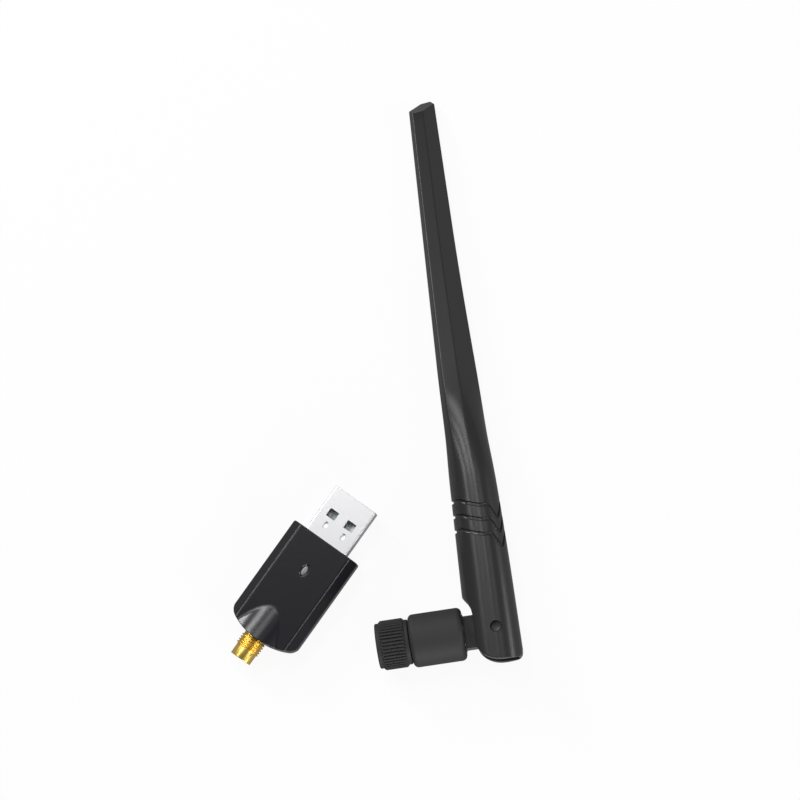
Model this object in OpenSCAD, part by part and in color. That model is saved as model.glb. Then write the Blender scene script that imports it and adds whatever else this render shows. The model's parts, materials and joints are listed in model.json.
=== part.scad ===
// USB radio adapter with a detachable folding antenna.
// Both items lie on a table. The origin is the middle of the adapter's underside, +Z is up,
// and the two items are turned and set apart by the values in Layout.

/* [Layout] */
// Turn of the adapter about Z, its plug towards +Y at 0
adapter_turn = -35.6; // [-90:0.1:90]
// Turn of the antenna about Z, its mast towards +Y at 0
antenna_turn = 8.2; // [-30:0.1:30]
// Antenna hinge, to the right of the origin
pivot_x = 50.3; // [42:0.1:90]
// Antenna hinge, above (+) or below (-) the origin
pivot_y = -9.6; // [-40:0.1:40]

/* [Adapter housing] */
// Width of the housing
housing_w = 19; // [16:0.1:28]
// Length of the housing along its middle
housing_l = 29.2; // [26:0.1:45]
// Height of the housing
housing_h = 8; // [7.6:0.1:12]
// Wall thickness of both shells
wall = 1.2; // [0.8:0.1:1.6]
// How far the rounded end stands past its corners
end_bow = 2.9; // [1:0.1:4]
// Width of the sloped band beside the flat top
top_slope_w = 2.1; // [1:0.1:3]
// Height of the sloped band beside the flat top
top_slope_h = 2.4; // [1:0.1:3]
// Size of the sloped edge at the underside
bottom_slope = 1.6; // [0.5:0.1:2]
// Length of the dome over the antenna jack
dome_l = 7.6; // [4:0.1:10]
// Height of the dome at the rounded end
dome_h = 1.8; // [1:0.1:3]
// Radius of the dome's round top
dome_r = 9.8; // [7:0.1:14]
// Height of the rim that locates the shells on each other
rim_h = 0.8; // [0.4:0.1:1.2]
// Thickness of that rim
rim_t = 0.5; // [0.3:0.05:0.6]

/* [Signal lamp] */
// Distance of the lamp window from the plug end
lamp_back = 8.8; // [7:0.1:16]
// Length of the window
lamp_l = 2.6; // [1.5:0.1:4]
// Width of the window
lamp_w = 1.5; // [1:0.1:3]
// Depth of the window below the top
lamp_sink = 0.25; // [0.1:0.05:0.5]

/* [Plug] */
// Width of the metal plug
plug_w = 12; // [12:0.1:12]
// Thickness of the metal plug
plug_h = 4.5; // [4.5:0.1:4.5]
// Length of plug outside the housing
plug_out = 12.7; // [11:0.1:14]
// Length of plug inside the housing
plug_in = 5; // [4:0.1:7]
// Thickness of the plug's sheet metal
plug_sheet = 0.3; // [0.2:0.05:0.4]
// Height of the plastic tongue
tongue_h = 1.84; // [1.6:0.02:2]
// Width of each latch window
window_w = 2.5; // [2:0.1:3]
// Length of each latch window
window_l = 2.2; // [1.8:0.1:3]
// Distance of the windows from the mouth
window_back = 5.2; // [4:0.1:6]
// Distance between the two windows' centres
window_pitch = 5.2; // [4.5:0.1:6]

/* [Antenna jack] */
// Sideways place of the jack in the housing
jack_x = -0.7; // [-2:0.1:2]
// Radius of the jack's thread
thread_r = 3.175; // [3.175:0.005:3.175]
// Length of thread outside the housing
thread_l = 3.5; // [3:0.1:6]
// Radius of the smooth end of the jack
nose_r = 2.78; // [2.5:0.01:3]
// Length of the smooth end
nose_l = 2.6; // [1:0.1:4]
// Radius of the bore in the jack
jack_bore_r = 2.1; // [1.9:0.05:2.3]
// Radius of the centre contacts
contact_r = 0.64; // [0.5:0.01:0.7]

/* [Circuit board] */
// Thickness of the circuit board
board_t = 1; // [0.6:0.1:1.2]
// Gap between the board and the housing walls
board_gap = 0.4; // [0.2:0.05:0.6]

/* [Antenna base] */
// Radius of the swivel sleeve, which rests on the table
sleeve_r = 6.5; // [6:0.1:8]
// Length of the swivel sleeve
sleeve_l = 13.1; // [11:0.1:18]
// Rounding of the sleeve's ends
sleeve_round = 1.2; // [0.5:0.1:1.5]
// Distance of the sleeve's face from the hinge axis
sleeve_face = 8.2; // [8:0.1:11]
// Radius of the knurled nut cover
cover_r = 6.05; // [5.4:0.05:6.5]
// Length of the nut cover
cover_l = 7.9; // [7:0.1:10]
// Number of ribs round the nut cover
rib_count = 44; // [24:1:60]
// Width across the flats of the metal nut
nut_flats = 8; // [8:0.1:9]
// Length of thread inside the nut
nut_thread_l = 3; // [2.5:0.1:3.4]
// Radial running clearance
running_gap = 0.1; // [0.05:0.01:0.1]

/* [Hinge] */
// Radius of the hinge pin
pin_r = 1.4; // [1:0.05:1.6]
// Half the height of the hinge tongue
tongue_half = 4; // [3.6:0.1:4.1]
// Thickness of the hinge tongue
tongue_t = 5.6; // [5:0.1:6.4]
// Gap on each side of the tongue
tongue_gap = 0.2; // [0.1:0.05:0.3]
// Depth of the pin's end below the ear
pin_sink = 0.9; // [0.3:0.1:1.4]

/* [Mast] */
// Length of the mast from the hinge axis to its tip
mast_l = 130.3; // [110:0.1:160]
// Left side at the hinge, from the hinge axis
left_foot = 7.75; // [7.4:0.05:8]
// Right side at the hinge, from the hinge axis
right_foot = 5.4; // [5.3:0.05:6]
// Half width of the tip
tip_half_w = 3.2; // [3:0.1:4.5]
// Half thickness of the tip
tip_half_t = 3.6; // [3.2:0.1:4.5]
// Rise of the slanted tip face for its depth
tip_slant = 0.5; // [0:0.05:0.7]
// Height where the mast is fully round below
round_below = 36; // [33:0.5:45]
// Height where the mast is fully faceted above
faceted_above = 66; // [55:0.5:90]
// Wall thickness of the mast
mast_wall = 1.1; // [0.8:0.05:1.3]
// Height of the joint between foot and blade
seam_y = 22.2; // [20:0.1:24]
// Height of the lowest groove
groove_y = 23.5; // [23.5:0.1:25]
// Distance between grooves
groove_pitch = 3.6; // [2.5:0.1:4]
// Width of each groove
groove_w = 1; // [0.5:0.1:1.5]
// Depth of each groove
groove_d = 0.45; // [0.2:0.05:0.6]
// Distance of the ears' lowest edge from the hinge axis
ear_drop = 7.85; // [7.4:0.05:7.85]

/* [Hidden] */
$fn = 72;
tiny = 0.01;

// Adapter, in its own axes: +Y towards the plug, underside at Z 0.
plug_end = housing_l / 2;
round_end = -housing_l / 2;
half_w = housing_w / 2;
end_r = (half_w * half_w + end_bow * end_bow) / (2 * end_bow);
plug_z = housing_h / 2;
plug_floor = plug_z - plug_h / 2;
board_top = plug_floor + plug_sheet + tongue_h;
board_bottom = board_top - board_t;
solder_pin_r = 0.4;
jack_neck_r = thread_r - 0.2;
jack_z = board_top + solder_pin_r;
seam_z = jack_z;
plug_back = plug_end - plug_in;
plug_mouth = plug_end + plug_out;
board_front = plug_back - 0.2;
block_l = 1.6;
block_y = round_end + 2.1;
block_h = 2 * (jack_z - wall - 0.6);
block_w = 6;
board_back = block_y + block_l;
board_half_w = half_w - wall - board_gap;
shell_gap = 0.1;
lamp_y = plug_end - lamp_back;
lamp_h = 0.6;
roof_z = housing_h - wall;
can_w = 10;
can_l = 9;
can_h = 1.7;
can_y = -3.2;
can_sheet = 0.2;
chip_w = 6;
chip_h = 0.9;
crystal_x = -5.8;
dimple_l = 1.8;
dimple_w = 1.2;
dimple_d = 0.15;
dimple_back = 3.1;
dome_tilt = atan(dome_h / dome_l);

// Antenna, in its own axes: hinge axis Z at the origin, mast towards +Y, nut towards -X.
foot_half_t = sleeve_r;
lie_tilt = atan((foot_half_t - tip_half_t) / mast_l);
sleeve_back = sleeve_face + sleeve_l;
cover_front = sleeve_back + 0.3;
cover_mouth = cover_front + cover_l;
nut_mouth = cover_mouth - 0.4;
nut_back = cover_front + 0.7;
nut_thread_end = nut_mouth - nut_thread_l;
nut_wall_front = nut_back + 1.2;
nut_relief_r = thread_r + 0.3;
neck_r = 2.6;
ferrule_r = 2.3;
ferrule_front = nut_thread_end - tiny;
barrel_r = 4;
barrel_l = 6;
barrel_front = sleeve_back;
barrel_back = barrel_front - barrel_l;
core_r = 1.9;
core_back = barrel_back + 1.8;
ring_t = 0.4;
ring_x = nut_wall_front + 0.25;
coax_r = 0.9;
coax_x = pin_r + coax_r + 0.3;
coax_bend = 4.3;
coax_top = 38;
channel_r = coax_r + 0.3;
sleeve_bore_r = sleeve_r - 1.2;
slot_half = tongue_t / 2 + tongue_gap;
sweep_r = tongue_half + 0.3;
spigot_r = 4.4;
spigot_l = 6;
spigot_x = (mast_right(seam_y) - mast_left(seam_y)) / 2;
hex = [[-1, 0.46], [-0.73, 1], [0.1, 0.75], [1, -0.46], [0.73, -1], [-0.1, -0.75]];
hex_steps = [3, 4, 9, 3, 4, 9];
strip_turn = 56.6;
strip_w = 4.6;
strip_t = 0.8;
strip_low = 31.5;
strip_high = mast_l - 22;
strip_x = (strip_t / 2 + coax_r) / sin(strip_turn) - coax_x;
trace_t = 0.1;
trace_w = 3.2;

// ---------- helpers ----------
function smooth(t) = let (u = min(1, max(0, t))) u * u * (3 - 2 * u);
function arc(c, r, from, to, steps) =
    [for (i = [0:steps]) c + r * [cos(from + (to - from) * i / steps), sin(from + (to - from) * i / steps)]];

module in_adapter() {
    rotate([0, 0, adapter_turn]) children();
}

module in_antenna() {
    translate([pivot_x, pivot_y, sleeve_r])
        rotate([0, 0, antenna_turn])
            rotate([-lie_tilt, 0, 0]) children();
}

// A cylinder along X between two distances on the nut's side of the hinge.
module along_base(r, far, near, sides = $fn) {
    translate([-far, 0, 0]) rotate([0, 90, 0]) cylinder(r = r, h = far - near, $fn = sides);
}

module box_at(size, at) {
    translate(at - [size[0] / 2, size[1] / 2, 0]) cube(size);
}

// ---------- adapter housing ----------
module end_profile(inset) {
    w = half_w - inset;
    polygon([
        [-w + bottom_slope, inset], [w - bottom_slope, inset],
        [w, inset + bottom_slope], [w, housing_h - inset - top_slope_h],
        [w - top_slope_w, housing_h - inset], [-w + top_slope_w, housing_h - inset],
        [-w, housing_h - inset - top_slope_h], [-w, inset + bottom_slope]]);
}

module plan(inset) {
    intersection() {
        translate([-half_w + inset, round_end + inset])
            square([housing_w - 2 * inset, housing_l - 2 * inset]);
        translate([0, round_end + end_r]) circle(r = end_r - inset, $fn = 180);
    }
}

module housing_solid(inset) {
    intersection() {
        translate([0, plug_end, 0]) rotate([90, 0, 0])
            linear_extrude(housing_l) end_profile(inset);
        linear_extrude(housing_h) plan(inset);
    }
}

module dome_solid(inset) {
    intersection() {
        translate([jack_x, round_end, housing_h + dome_h - dome_r])
            rotate([-dome_tilt, 0, 0])
                rotate([90, 0, 0])
                    cylinder(r = dome_r - inset, h = 3 * dome_l, center = true);
        linear_extrude(housing_h + dome_h) plan(inset);
        translate([-half_w, round_end, roof_z - wall]) cube([housing_w, dome_l + 4, dome_h + 3 * wall]);
    }
}

module plug_opening(gap) {
    translate([-plug_w / 2 - gap, plug_back, plug_floor - gap])
        cube([plug_w + 2 * gap, plug_in + 1, plug_h + 2 * gap]);
}

module jack_opening(gap) {
    along_jack(jack_neck_r + gap, round_end - 1, block_y + tiny);
}

module rim_ring(gap) {
    translate([0, 0, seam_z]) linear_extrude(rim_h + gap) difference() {
        plan(wall - rim_t - gap);
        plan(wall);
    }
}

module stadium(l, w, h) {
    for (s = [-1, 1]) translate([0, s * (l - w) / 2, 0]) cylinder(r = w / 2, h = h);
    translate([-w / 2, -(l - w) / 2, 0]) cube([w, l - w, h]);
}

module upper_shell() {
    color("#141416") in_adapter() difference() {
        union() {
            difference() {
                union() {
                    housing_solid(0);
                    dome_solid(0);
                }
                housing_solid(wall);
                dome_solid(wall);
            }
            for (s = [-1, 1]) box_at([1.4, 1.4, roof_z - board_top - shell_gap + tiny],
                [s * (board_half_w - 1.2), board_front - 1.4, board_top + shell_gap]);
        }
        translate([-housing_w, -housing_l, -1]) cube([2 * housing_w, 2 * housing_l, seam_z + 1]);
        rim_ring(shell_gap / 2);
        plug_opening(shell_gap);
        jack_opening(shell_gap);
        translate([0, lamp_y, roof_z - 1]) stadium(lamp_l, lamp_w, wall + 2);
        translate([0, lamp_y, housing_h - lamp_sink]) stadium(lamp_l + 0.7, lamp_w + 0.7, 1);
    }
}

module lower_shell() {
    color("#141416") in_adapter() difference() {
        union() {
            intersection() {
                difference() {
                    housing_solid(0);
                    housing_solid(wall);
                }
                translate([-housing_w, -housing_l, 0]) cube([2 * housing_w, 2 * housing_l, seam_z]);
            }
            rim_ring(0);
            for (s = [-1, 1], y = [board_front - 1.4, board_back + 1.6])
                translate([s * (board_half_w - 1.2), y, wall - tiny])
                    cylinder(r = 0.8, h = board_bottom - wall + tiny);
        }
        plug_opening(shell_gap);
        jack_opening(shell_gap);
    }
}

module light_pipe() {
    color("#8c8f93") in_adapter() translate([0, lamp_y, 0]) {
        translate([0, 0, board_top + lamp_h + 0.2])
            stadium(lamp_l - 0.2, lamp_w - 0.2, housing_h - lamp_sink - board_top - lamp_h - 0.2);
        translate([0, 0, roof_z - 0.6]) stadium(lamp_l + 1, lamp_w + 1, 0.6);
    }
}

// ---------- adapter electronics ----------
module signal_lamp() {
    color("#e8e8d8") in_adapter() box_at([0.8, 1.6, lamp_h], [0, lamp_y, board_top]);
}

module circuit_board() {
    color("#123c26") in_adapter() translate([-board_half_w, board_back, board_bottom])
        cube([2 * board_half_w, board_front - board_back, board_t]);
}

module radio_chip() {
    color("#1d1d1f") in_adapter() box_at([chip_w, chip_w, chip_h], [0, can_y, board_top]);
}

module shield_can() {
    color("#c4c6c8") in_adapter() difference() {
        box_at([can_w, can_l, can_h], [0, can_y, board_top]);
        box_at([can_w - 2 * can_sheet, can_l - 2 * can_sheet, can_h - can_sheet + 1],
            [0, can_y, board_top - 1]);
    }
}

module crystal() {
    color("#d0d0cc") in_adapter() box_at([2.5, 3.2, 0.7], [crystal_x, lamp_y - 2.4, board_top]);
}

module small_components() {
    color("#b9a37c") in_adapter() {
        for (i = [0:4]) box_at([0.5, 1, 0.5], [can_w / 2 + 0.7, can_y - 3.2 + 1.6 * i, board_top]);
        for (i = [0:3]) box_at([1, 0.5, 0.5], [2.4 + 1.35 * i, lamp_y - 2.2, board_top]);
        for (s = [-1, 1]) box_at([1.6, 0.8, 0.8], [s * 4.6, lamp_y + 1.2, board_top]);
    }
}

// ---------- plug ----------
module plug_shell() {
    color("#d9dadb") in_adapter() difference() {
        translate([-plug_w / 2, plug_back, plug_floor])
            cube([plug_w, plug_in + plug_out, plug_h]);
        translate([-plug_w / 2 + plug_sheet, plug_back - 1, plug_floor + plug_sheet])
            cube([plug_w - 2 * plug_sheet, plug_in + plug_out + 2, plug_h - 2 * plug_sheet]);
        for (s = [-1, 1]) {
            translate([s * window_pitch / 2 - window_w / 2, plug_mouth - window_back - window_l, plug_floor - 1])
                cube([window_w, window_l, plug_h + 2]);
            translate([s * window_pitch / 2, plug_mouth - window_back - window_l / 2 - dimple_back,
                plug_floor + plug_h - dimple_d]) stadium(dimple_l, dimple_w, 1);
        }
    }
}

module plug_insulator() {
    inner_w = plug_w - 2 * plug_sheet;
    color("#e9eaea") in_adapter() {
        translate([-inner_w / 2, plug_back, plug_floor + plug_sheet])
            cube([inner_w, plug_in + plug_out - 0.4, tongue_h]);
        translate([-inner_w / 2, plug_back, board_top + 0.15])
            cube([inner_w, plug_in + 1, plug_h - 2 * plug_sheet - tongue_h - 0.15]);
        for (x = [-4.75, -2.25, 0, 2.25, 4.75])
            box_at([1, plug_in + 1, 0.15], [x, plug_back + (plug_in + 1) / 2, board_top]);
    }
}

module plug_contacts() {
    color("#d8b24a") in_adapter() for (x = [-3.5, -1, 1, 3.5])
        translate([x - 0.5, board_front - 1.6, board_top])
            cube([1, plug_mouth - 1.2 - board_front + 1.6, 0.15]);
}

// ---------- antenna jack ----------
module along_jack(r, from, to) {
    translate([jack_x, from, jack_z]) rotate([-90, 0, 0]) cylinder(r = r, h = to - from);
}

module jack_body() {
    tip = round_end - thread_l - nose_l;
    color("#d9a520") in_adapter() difference() {
        union() {
            along_jack(thread_r, round_end - thread_l, round_end);
            along_jack(jack_neck_r, round_end - tiny, block_y);
            along_jack(nose_r, tip, round_end);
            translate([jack_x - block_w / 2, block_y, jack_z - block_h / 2])
                cube([block_w, block_l, block_h]);
            for (s = [-1, 1], z = [board_top, board_bottom - 0.9])
                box_at([1, 3.2 + tiny, 0.9], [jack_x + s * 2.5, board_back + 1.6 - tiny, z]);
        }
        along_jack(jack_bore_r, tip - 1, block_y + block_l + 1);
    }
}

module jack_insulator() {
    color("#f2f0ea") in_adapter() difference() {
        along_jack(jack_bore_r, round_end - thread_l - nose_l + 2, block_y + block_l);
        along_jack(contact_r, round_end - housing_l, block_y + block_l + 1);
    }
}

module jack_contact() {
    tip = round_end - thread_l - nose_l;
    color("#d9a520") in_adapter() {
        along_jack(contact_r, tip + 0.3, block_y + block_l);
        along_jack(solder_pin_r, block_y + block_l - tiny, block_y + block_l + 2.2);
    }
}

// ---------- antenna connector ----------
module rib_outline() {
    depth = 0.35;
    step = 360 / rib_count;
    polygon([for (i = [0:rib_count - 1], k = [0:3])
        let (a = step * (i + [0, 0.35, 0.5, 0.85][k]), r = k < 2 ? cover_r : cover_r - depth)
        r * [cos(a), sin(a)]]);
}

module nut_cover() {
    collar = 1;
    color("#161617") in_antenna() difference() {
        union() {
            along_base(cover_r - 0.55, cover_mouth, cover_front);
            translate([-cover_mouth + collar, 0, 0]) rotate([0, 90, 0])
                linear_extrude(cover_l - 2 * collar) rib_outline();
        }
        along_base(nut_flats / 2 / cos(30), nut_mouth, nut_back, 6);
        along_base(thread_r + 0.35, cover_mouth + 1, nut_mouth - 1);
        along_base(neck_r + 0.5, nut_back + 1, cover_front - 1);
    }
}

module coupling_nut() {
    color("#d9a520") in_antenna() difference() {
        along_base(nut_flats / 2 / cos(30), nut_mouth, nut_back, 6);
        along_base(thread_r, nut_mouth + 1, nut_thread_end);
        along_base(nut_relief_r, nut_thread_end, nut_wall_front);
        along_base(neck_r + running_gap, nut_wall_front + 1, nut_back - 1);
    }
}

module retaining_ring() {
    color("#a8a9ab") in_antenna() difference() {
        along_base(thread_r + 0.05, ring_x + ring_t, ring_x);
        along_base(neck_r - 0.35, ring_x + ring_t + 1, ring_x - 1);
    }
}

module connector_body() {
    color("#d9a520") in_antenna() difference() {
        union() {
            along_base(ferrule_r, ferrule_front, barrel_front);
            along_base(neck_r, ferrule_front - 0.8, barrel_front - tiny);
            along_base(barrel_r, barrel_front, barrel_back);
        }
        difference() {
            along_base(neck_r + 1, ring_x + ring_t + 0.03, ring_x - 0.03);
            along_base(neck_r - 0.38, ring_x + ring_t + 1, ring_x - 1);
        }
        along_base(core_r, ferrule_front + 1, core_back);
        along_base(coax_r + 0.05, core_back + 1, barrel_back - 1);
    }
}

module connector_insulator() {
    color("#f2f0ea") in_antenna() difference() {
        along_base(core_r, ferrule_front, core_back);
        along_base(contact_r, ferrule_front + 1, core_back - 1);
    }
}

module connector_contact() {
    color("#d9a520") in_antenna() difference() {
        along_base(contact_r, ferrule_front - 0.1, core_back);
        along_base(0.46, ferrule_front + 1, ferrule_front - 2.6);
    }
}

// ---------- antenna swivel ----------
module swivel_sleeve() {
    r = sleeve_round;
    color("#1b1b1c") in_antenna() difference() {
        translate([-sleeve_back, 0, 0]) rotate([0, 90, 0]) rotate_extrude() {
            translate([sleeve_bore_r - 1, 0]) square([sleeve_r - sleeve_bore_r + 1 - r, sleeve_l]);
            translate([sleeve_bore_r - 1, r]) square([sleeve_r - sleeve_bore_r + 1, sleeve_l - 2 * r]);
            for (h = [r, sleeve_l - r]) translate([sleeve_r - r, h]) circle(r = r);
        }
        along_base(sleeve_bore_r, sleeve_back + 1, sleeve_face - 1);
    }
}

// The path of the lead inside the base and the foot: along the axis, round a bend, up the mast.
module lead_path(r, from, to) {
    along_base(r, from, coax_x + coax_bend);
    translate([-coax_x - coax_bend, coax_bend, 0])
        rotate([0, 0, -90]) rotate_extrude(angle = 90) translate([coax_bend, 0]) circle(r = r);
    translate([-coax_x, coax_bend, 0]) rotate([-90, 0, 0]) cylinder(r = r, h = to - coax_bend);
}

module hinge_knuckle() {
    ledge = 1.3;
    color("#141415") in_antenna() difference() {
        union() {
            along_base(sleeve_bore_r, sleeve_back - 0.1, sleeve_face);
            along_base(sleeve_bore_r - 0.7, sleeve_face + tiny, sleeve_face - 0.1);
            translate([-sleeve_face - tiny, -tongue_half, -tongue_t / 2])
                cube([sleeve_face, 2 * tongue_half, tongue_t]);
            translate([0, 0, -tongue_t / 2]) cylinder(r = tongue_half, h = tongue_t);
        }
        along_base(barrel_r + running_gap, sleeve_back + 1, barrel_back - 0.3);
        lead_path(channel_r, barrel_back, tongue_half + 6);
        translate([0, 0, -tongue_t]) cylinder(r = pin_r + running_gap / 2, h = 2 * tongue_t);
        for (s = [-1, 1]) translate([-sleeve_face + 0.1, tongue_half - ledge, s * tongue_t / 2 - 0.8])
            cube([sleeve_face - tongue_half + 1, ledge + 1, 1.6]);
    }
}

module hinge_pin() {
    color("#1e1e20") in_antenna() translate([0, 0, -foot_half_t + pin_sink])
        cylinder(r = pin_r, h = 2 * (foot_half_t - pin_sink));
}

// ---------- mast ----------
function mast_left(y) = left_foot + (tip_half_w - left_foot) * y / mast_l;
function mast_right(y) = tip_half_w
    + (right_foot - tip_half_w) * (0.2 * (1 - y / mast_l) + 0.8 * (1 - smooth((y - 10) / 90)));
function mast_depth(y) = foot_half_t + (tip_half_t - foot_half_t) * y / mast_l;
function roundness(y) = 1 - smooth((y - round_below) / (faceted_above - round_below));

// One turn of the section at unit size, from the facets (k 0) to the ellipse (k 1).
function unit_ring(k) = [for (e = [0:5], j = [0:hex_steps[e] - 1])
    let (p = hex[e], q = hex[(e + 1) % 6], t = j / hex_steps[e],
        from = atan2(p[1], p[0]), turn = (from - atan2(q[1], q[0]) + 720) % 360,
        a = from - turn * t)
    (p + (q - p) * t) * (1 - k) + [cos(a), sin(a)] * k];

// A ring of points at height y, which leans by slant and lies inset below the outer surface.
function mast_ring(y, inset, slant) = [for (p = unit_ring(roundness(y)))
    let (at = y - slant * p[1] * mast_depth(y),
        w = (mast_left(at) + mast_right(at)) / 2 - inset,
        x = (mast_right(at) - mast_left(at)) / 2)
    [x + w * p[0], at, (mast_depth(at) - inset) * p[1]]];

// A closed solid through rings of equal length.
module loft(rings) {
    n = len(rings[0]);
    m = len(rings);
    polyhedron(points = [for (r = rings) each r], faces = [
        [for (i = [0:n - 1]) i],
        [for (i = [0:n - 1]) m * n - 1 - i],
        for (k = [0:m - 2], i = [0:n - 1])
            [k * n + (i + 1) % n, k * n + i, (k + 1) * n + i, (k + 1) * n + (i + 1) % n]]);
}

module mast_solid(from, to, step, inset, slant) {
    count = ceil((to - from) / step);
    loft([for (i = [0:count]) let (y = from + (to - from) * i / count)
        mast_ring(y, inset, i == count ? slant : 0)]);
}

module groove(y) {
    translate([spigot_x, y + groove_w / 2, 0]) rotate([90, 0, 0]) difference() {
        cylinder(r = foot_half_t + 3, h = groove_w);
        translate([0, 0, -1])
            cylinder(r = (mast_left(y) + mast_right(y)) / 2 - groove_d, h = groove_w + 2);
    }
}

module mast_blade() {
    color("#1a1a1b") in_antenna() difference() {
        mast_solid(seam_y, mast_l, 9, 0, tip_slant);
        mast_solid(seam_y + spigot_l + 0.5, mast_l - 6, 14, mast_wall, 0);
        translate([spigot_x, seam_y - 1, 0]) rotate([-90, 0, 0])
            cylinder(r = spigot_r + 0.05, h = spigot_l + 2);
        for (i = [0:2]) groove(groove_y + i * groove_pitch);
    }
}

module ear_plan() {
    corner_r = 1.6;
    heel_r = 3.5;
    polygon(concat(
        [[-left_foot - 2, seam_y + spigot_l + 1], [right_foot + 2, seam_y + spigot_l + 1],
            [right_foot + 2, corner_r - ear_drop]],
        arc([right_foot + 0.1 - corner_r, corner_r - ear_drop], corner_r, 0, -90, 6),
        arc([1, heel_r - ear_drop], heel_r, -90, -131, 6),
        [[-5.4, -3.4], [-5.2, 2.2], [-5.5, 5.1], [-6.2, 6.9], [-9, 10.4],
            [-left_foot - 2, 10.4]]));
}

module tongue_slot() {
    reach = sleeve_r + 4;
    translate([0, 0, -slot_half]) {
        cylinder(r = sweep_r, h = 2 * slot_half);
        translate([-reach, -sweep_r, 0]) cube([reach, 2 * sweep_r, 2 * slot_half]);
        translate([-sweep_r, -reach, 0]) cube([2 * sweep_r, reach, 2 * slot_half]);
        translate([-reach, -reach, 0]) cube([reach, reach, 2 * slot_half]);
    }
}

module mast_foot() {
    color("#1a1a1b") in_antenna() difference() {
        union() {
            intersection() {
                mast_solid(-ear_drop - 1, seam_y, 6, 0, 0);
                translate([0, 0, -2 * foot_half_t]) linear_extrude(4 * foot_half_t) ear_plan();
            }
            translate([spigot_x, seam_y - tiny, 0]) rotate([-90, 0, 0])
                cylinder(r = spigot_r, h = spigot_l);
        }
        tongue_slot();
        translate([-coax_x, 0, 0]) rotate([-90, 0, 0]) cylinder(r = channel_r, h = seam_y);
        translate([spigot_x, seam_y - 8, 0]) rotate([-90, 0, 0])
            cylinder(r = spigot_r - 1, h = spigot_l + 9);
        translate([0, 0, -2 * foot_half_t]) cylinder(r = pin_r, h = 4 * foot_half_t);
    }
}

module on_strip() {
    translate([strip_x, 0, 0]) rotate([0, strip_turn, 0]) children();
}

module radiator_board() {
    color("#2c5c3a") in_antenna() on_strip()
        translate([-strip_w / 2, strip_low, -strip_t / 2])
            cube([strip_w, strip_high - strip_low, strip_t]);
}

module radiator_traces() {
    arm = (strip_high - strip_low - 9) / 2;
    color("#c77b3a") in_antenna() on_strip()
        for (y = [strip_low + 3, strip_low + 6 + arm])
            translate([-trace_w / 2, y, strip_t / 2]) cube([trace_w, arm, trace_t]);
}

module coax_lead() {
    color("#2a2a2c") in_antenna() lead_path(coax_r, core_back, coax_top);
}

upper_shell();
lower_shell();
light_pipe();
signal_lamp();
circuit_board();
radio_chip();
shield_can();
crystal();
small_components();
plug_shell();
plug_insulator();
plug_contacts();
jack_body();
jack_insulator();
jack_contact();
nut_cover();
coupling_nut();
retaining_ring();
connector_body();
connector_insulator();
connector_contact();
swivel_sleeve();
hinge_knuckle();
hinge_pin();
mast_foot();
mast_blade();
radiator_board();
radiator_traces();
coax_lead();
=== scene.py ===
"""Detailed meshes and finishes of a usb radio adapter and its folding antenna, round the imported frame.

Each sub-assembly is a class that holds its sizes in millimetres, in its own axes, and builds and
dresses its pieces. The axes come from the frame, and a mesh is placed in metres when it is made.
"""

import json
import logging
import math
from dataclasses import dataclass
from enum import Enum
from typing import Sequence, Union

import bmesh
import bpy
import numpy as np
from mathutils import Matrix, Vector


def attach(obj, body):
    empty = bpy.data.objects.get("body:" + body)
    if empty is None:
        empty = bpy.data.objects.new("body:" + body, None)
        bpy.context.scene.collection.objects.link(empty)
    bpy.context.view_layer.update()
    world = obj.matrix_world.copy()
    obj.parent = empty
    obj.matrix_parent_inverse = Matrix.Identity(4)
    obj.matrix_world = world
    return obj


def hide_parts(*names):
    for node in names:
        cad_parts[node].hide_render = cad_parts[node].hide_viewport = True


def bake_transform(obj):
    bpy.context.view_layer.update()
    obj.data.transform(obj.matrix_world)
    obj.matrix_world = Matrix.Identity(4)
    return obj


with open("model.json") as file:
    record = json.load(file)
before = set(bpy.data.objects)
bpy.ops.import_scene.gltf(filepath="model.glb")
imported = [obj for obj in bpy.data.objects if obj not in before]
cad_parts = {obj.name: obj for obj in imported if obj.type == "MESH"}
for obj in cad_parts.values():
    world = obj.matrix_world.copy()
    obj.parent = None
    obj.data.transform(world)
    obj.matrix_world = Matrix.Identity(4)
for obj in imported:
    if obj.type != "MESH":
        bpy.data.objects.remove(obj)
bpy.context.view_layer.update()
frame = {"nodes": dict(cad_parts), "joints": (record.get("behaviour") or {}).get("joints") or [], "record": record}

log = logging.getLogger("adapter")
MM = 0.001
MERGE = 0.0005  # points nearer than this, in millimetres, become one
BAR_MERGE = 0.001  # the same on a rippled bar
SHARP_EDGE = 38  # edges sharper than this, in degrees, are rounded
FLAT_WEIGHT = 60  # how far large faces keep their own shading
HALF_TURN = math.pi
FULL_TURN = 2 * math.pi
Colour = tuple[float, float, float]
Pair = tuple[float, float]
Rows = Sequence[np.ndarray]


class Body(Enum):
    """Bodies of the frame that pieces ride on."""

    ADAPTER = "adapter"
    CONNECTOR = "connector"
    NUT = "nut"
    SWIVEL = "swivel"
    MAST = "mast"


# ---------- axes and small sums ----------
@dataclass(frozen=True)
class Axes:
    """A sub-assembly's own axes in the shared frame."""

    origin: Vector
    x: Vector
    y: Vector
    z: Vector

    def matrix(self) -> Matrix:
        """Matrix from local millimetres to metres in the shared frame."""
        turn = Matrix((self.x, self.y, self.z)).transposed().to_4x4()
        return Matrix.Translation(self.origin) @ turn @ Matrix.Scale(MM, 4)

    def direction(self, x: float, y: float, z: float) -> Vector:
        """A local direction, in the shared frame."""
        return self.x * x + self.y * y + self.z * z

    def point(self, x: float, y: float, z: float) -> Vector:
        """A local point in millimetres, in the shared frame in metres."""
        return self.origin + self.direction(x, y, z) * MM


def named(rows: Sequence[dict], name: str) -> dict:
    """The row of the record that has this name."""
    return next(row for row in rows if row["name"] == name)


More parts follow.
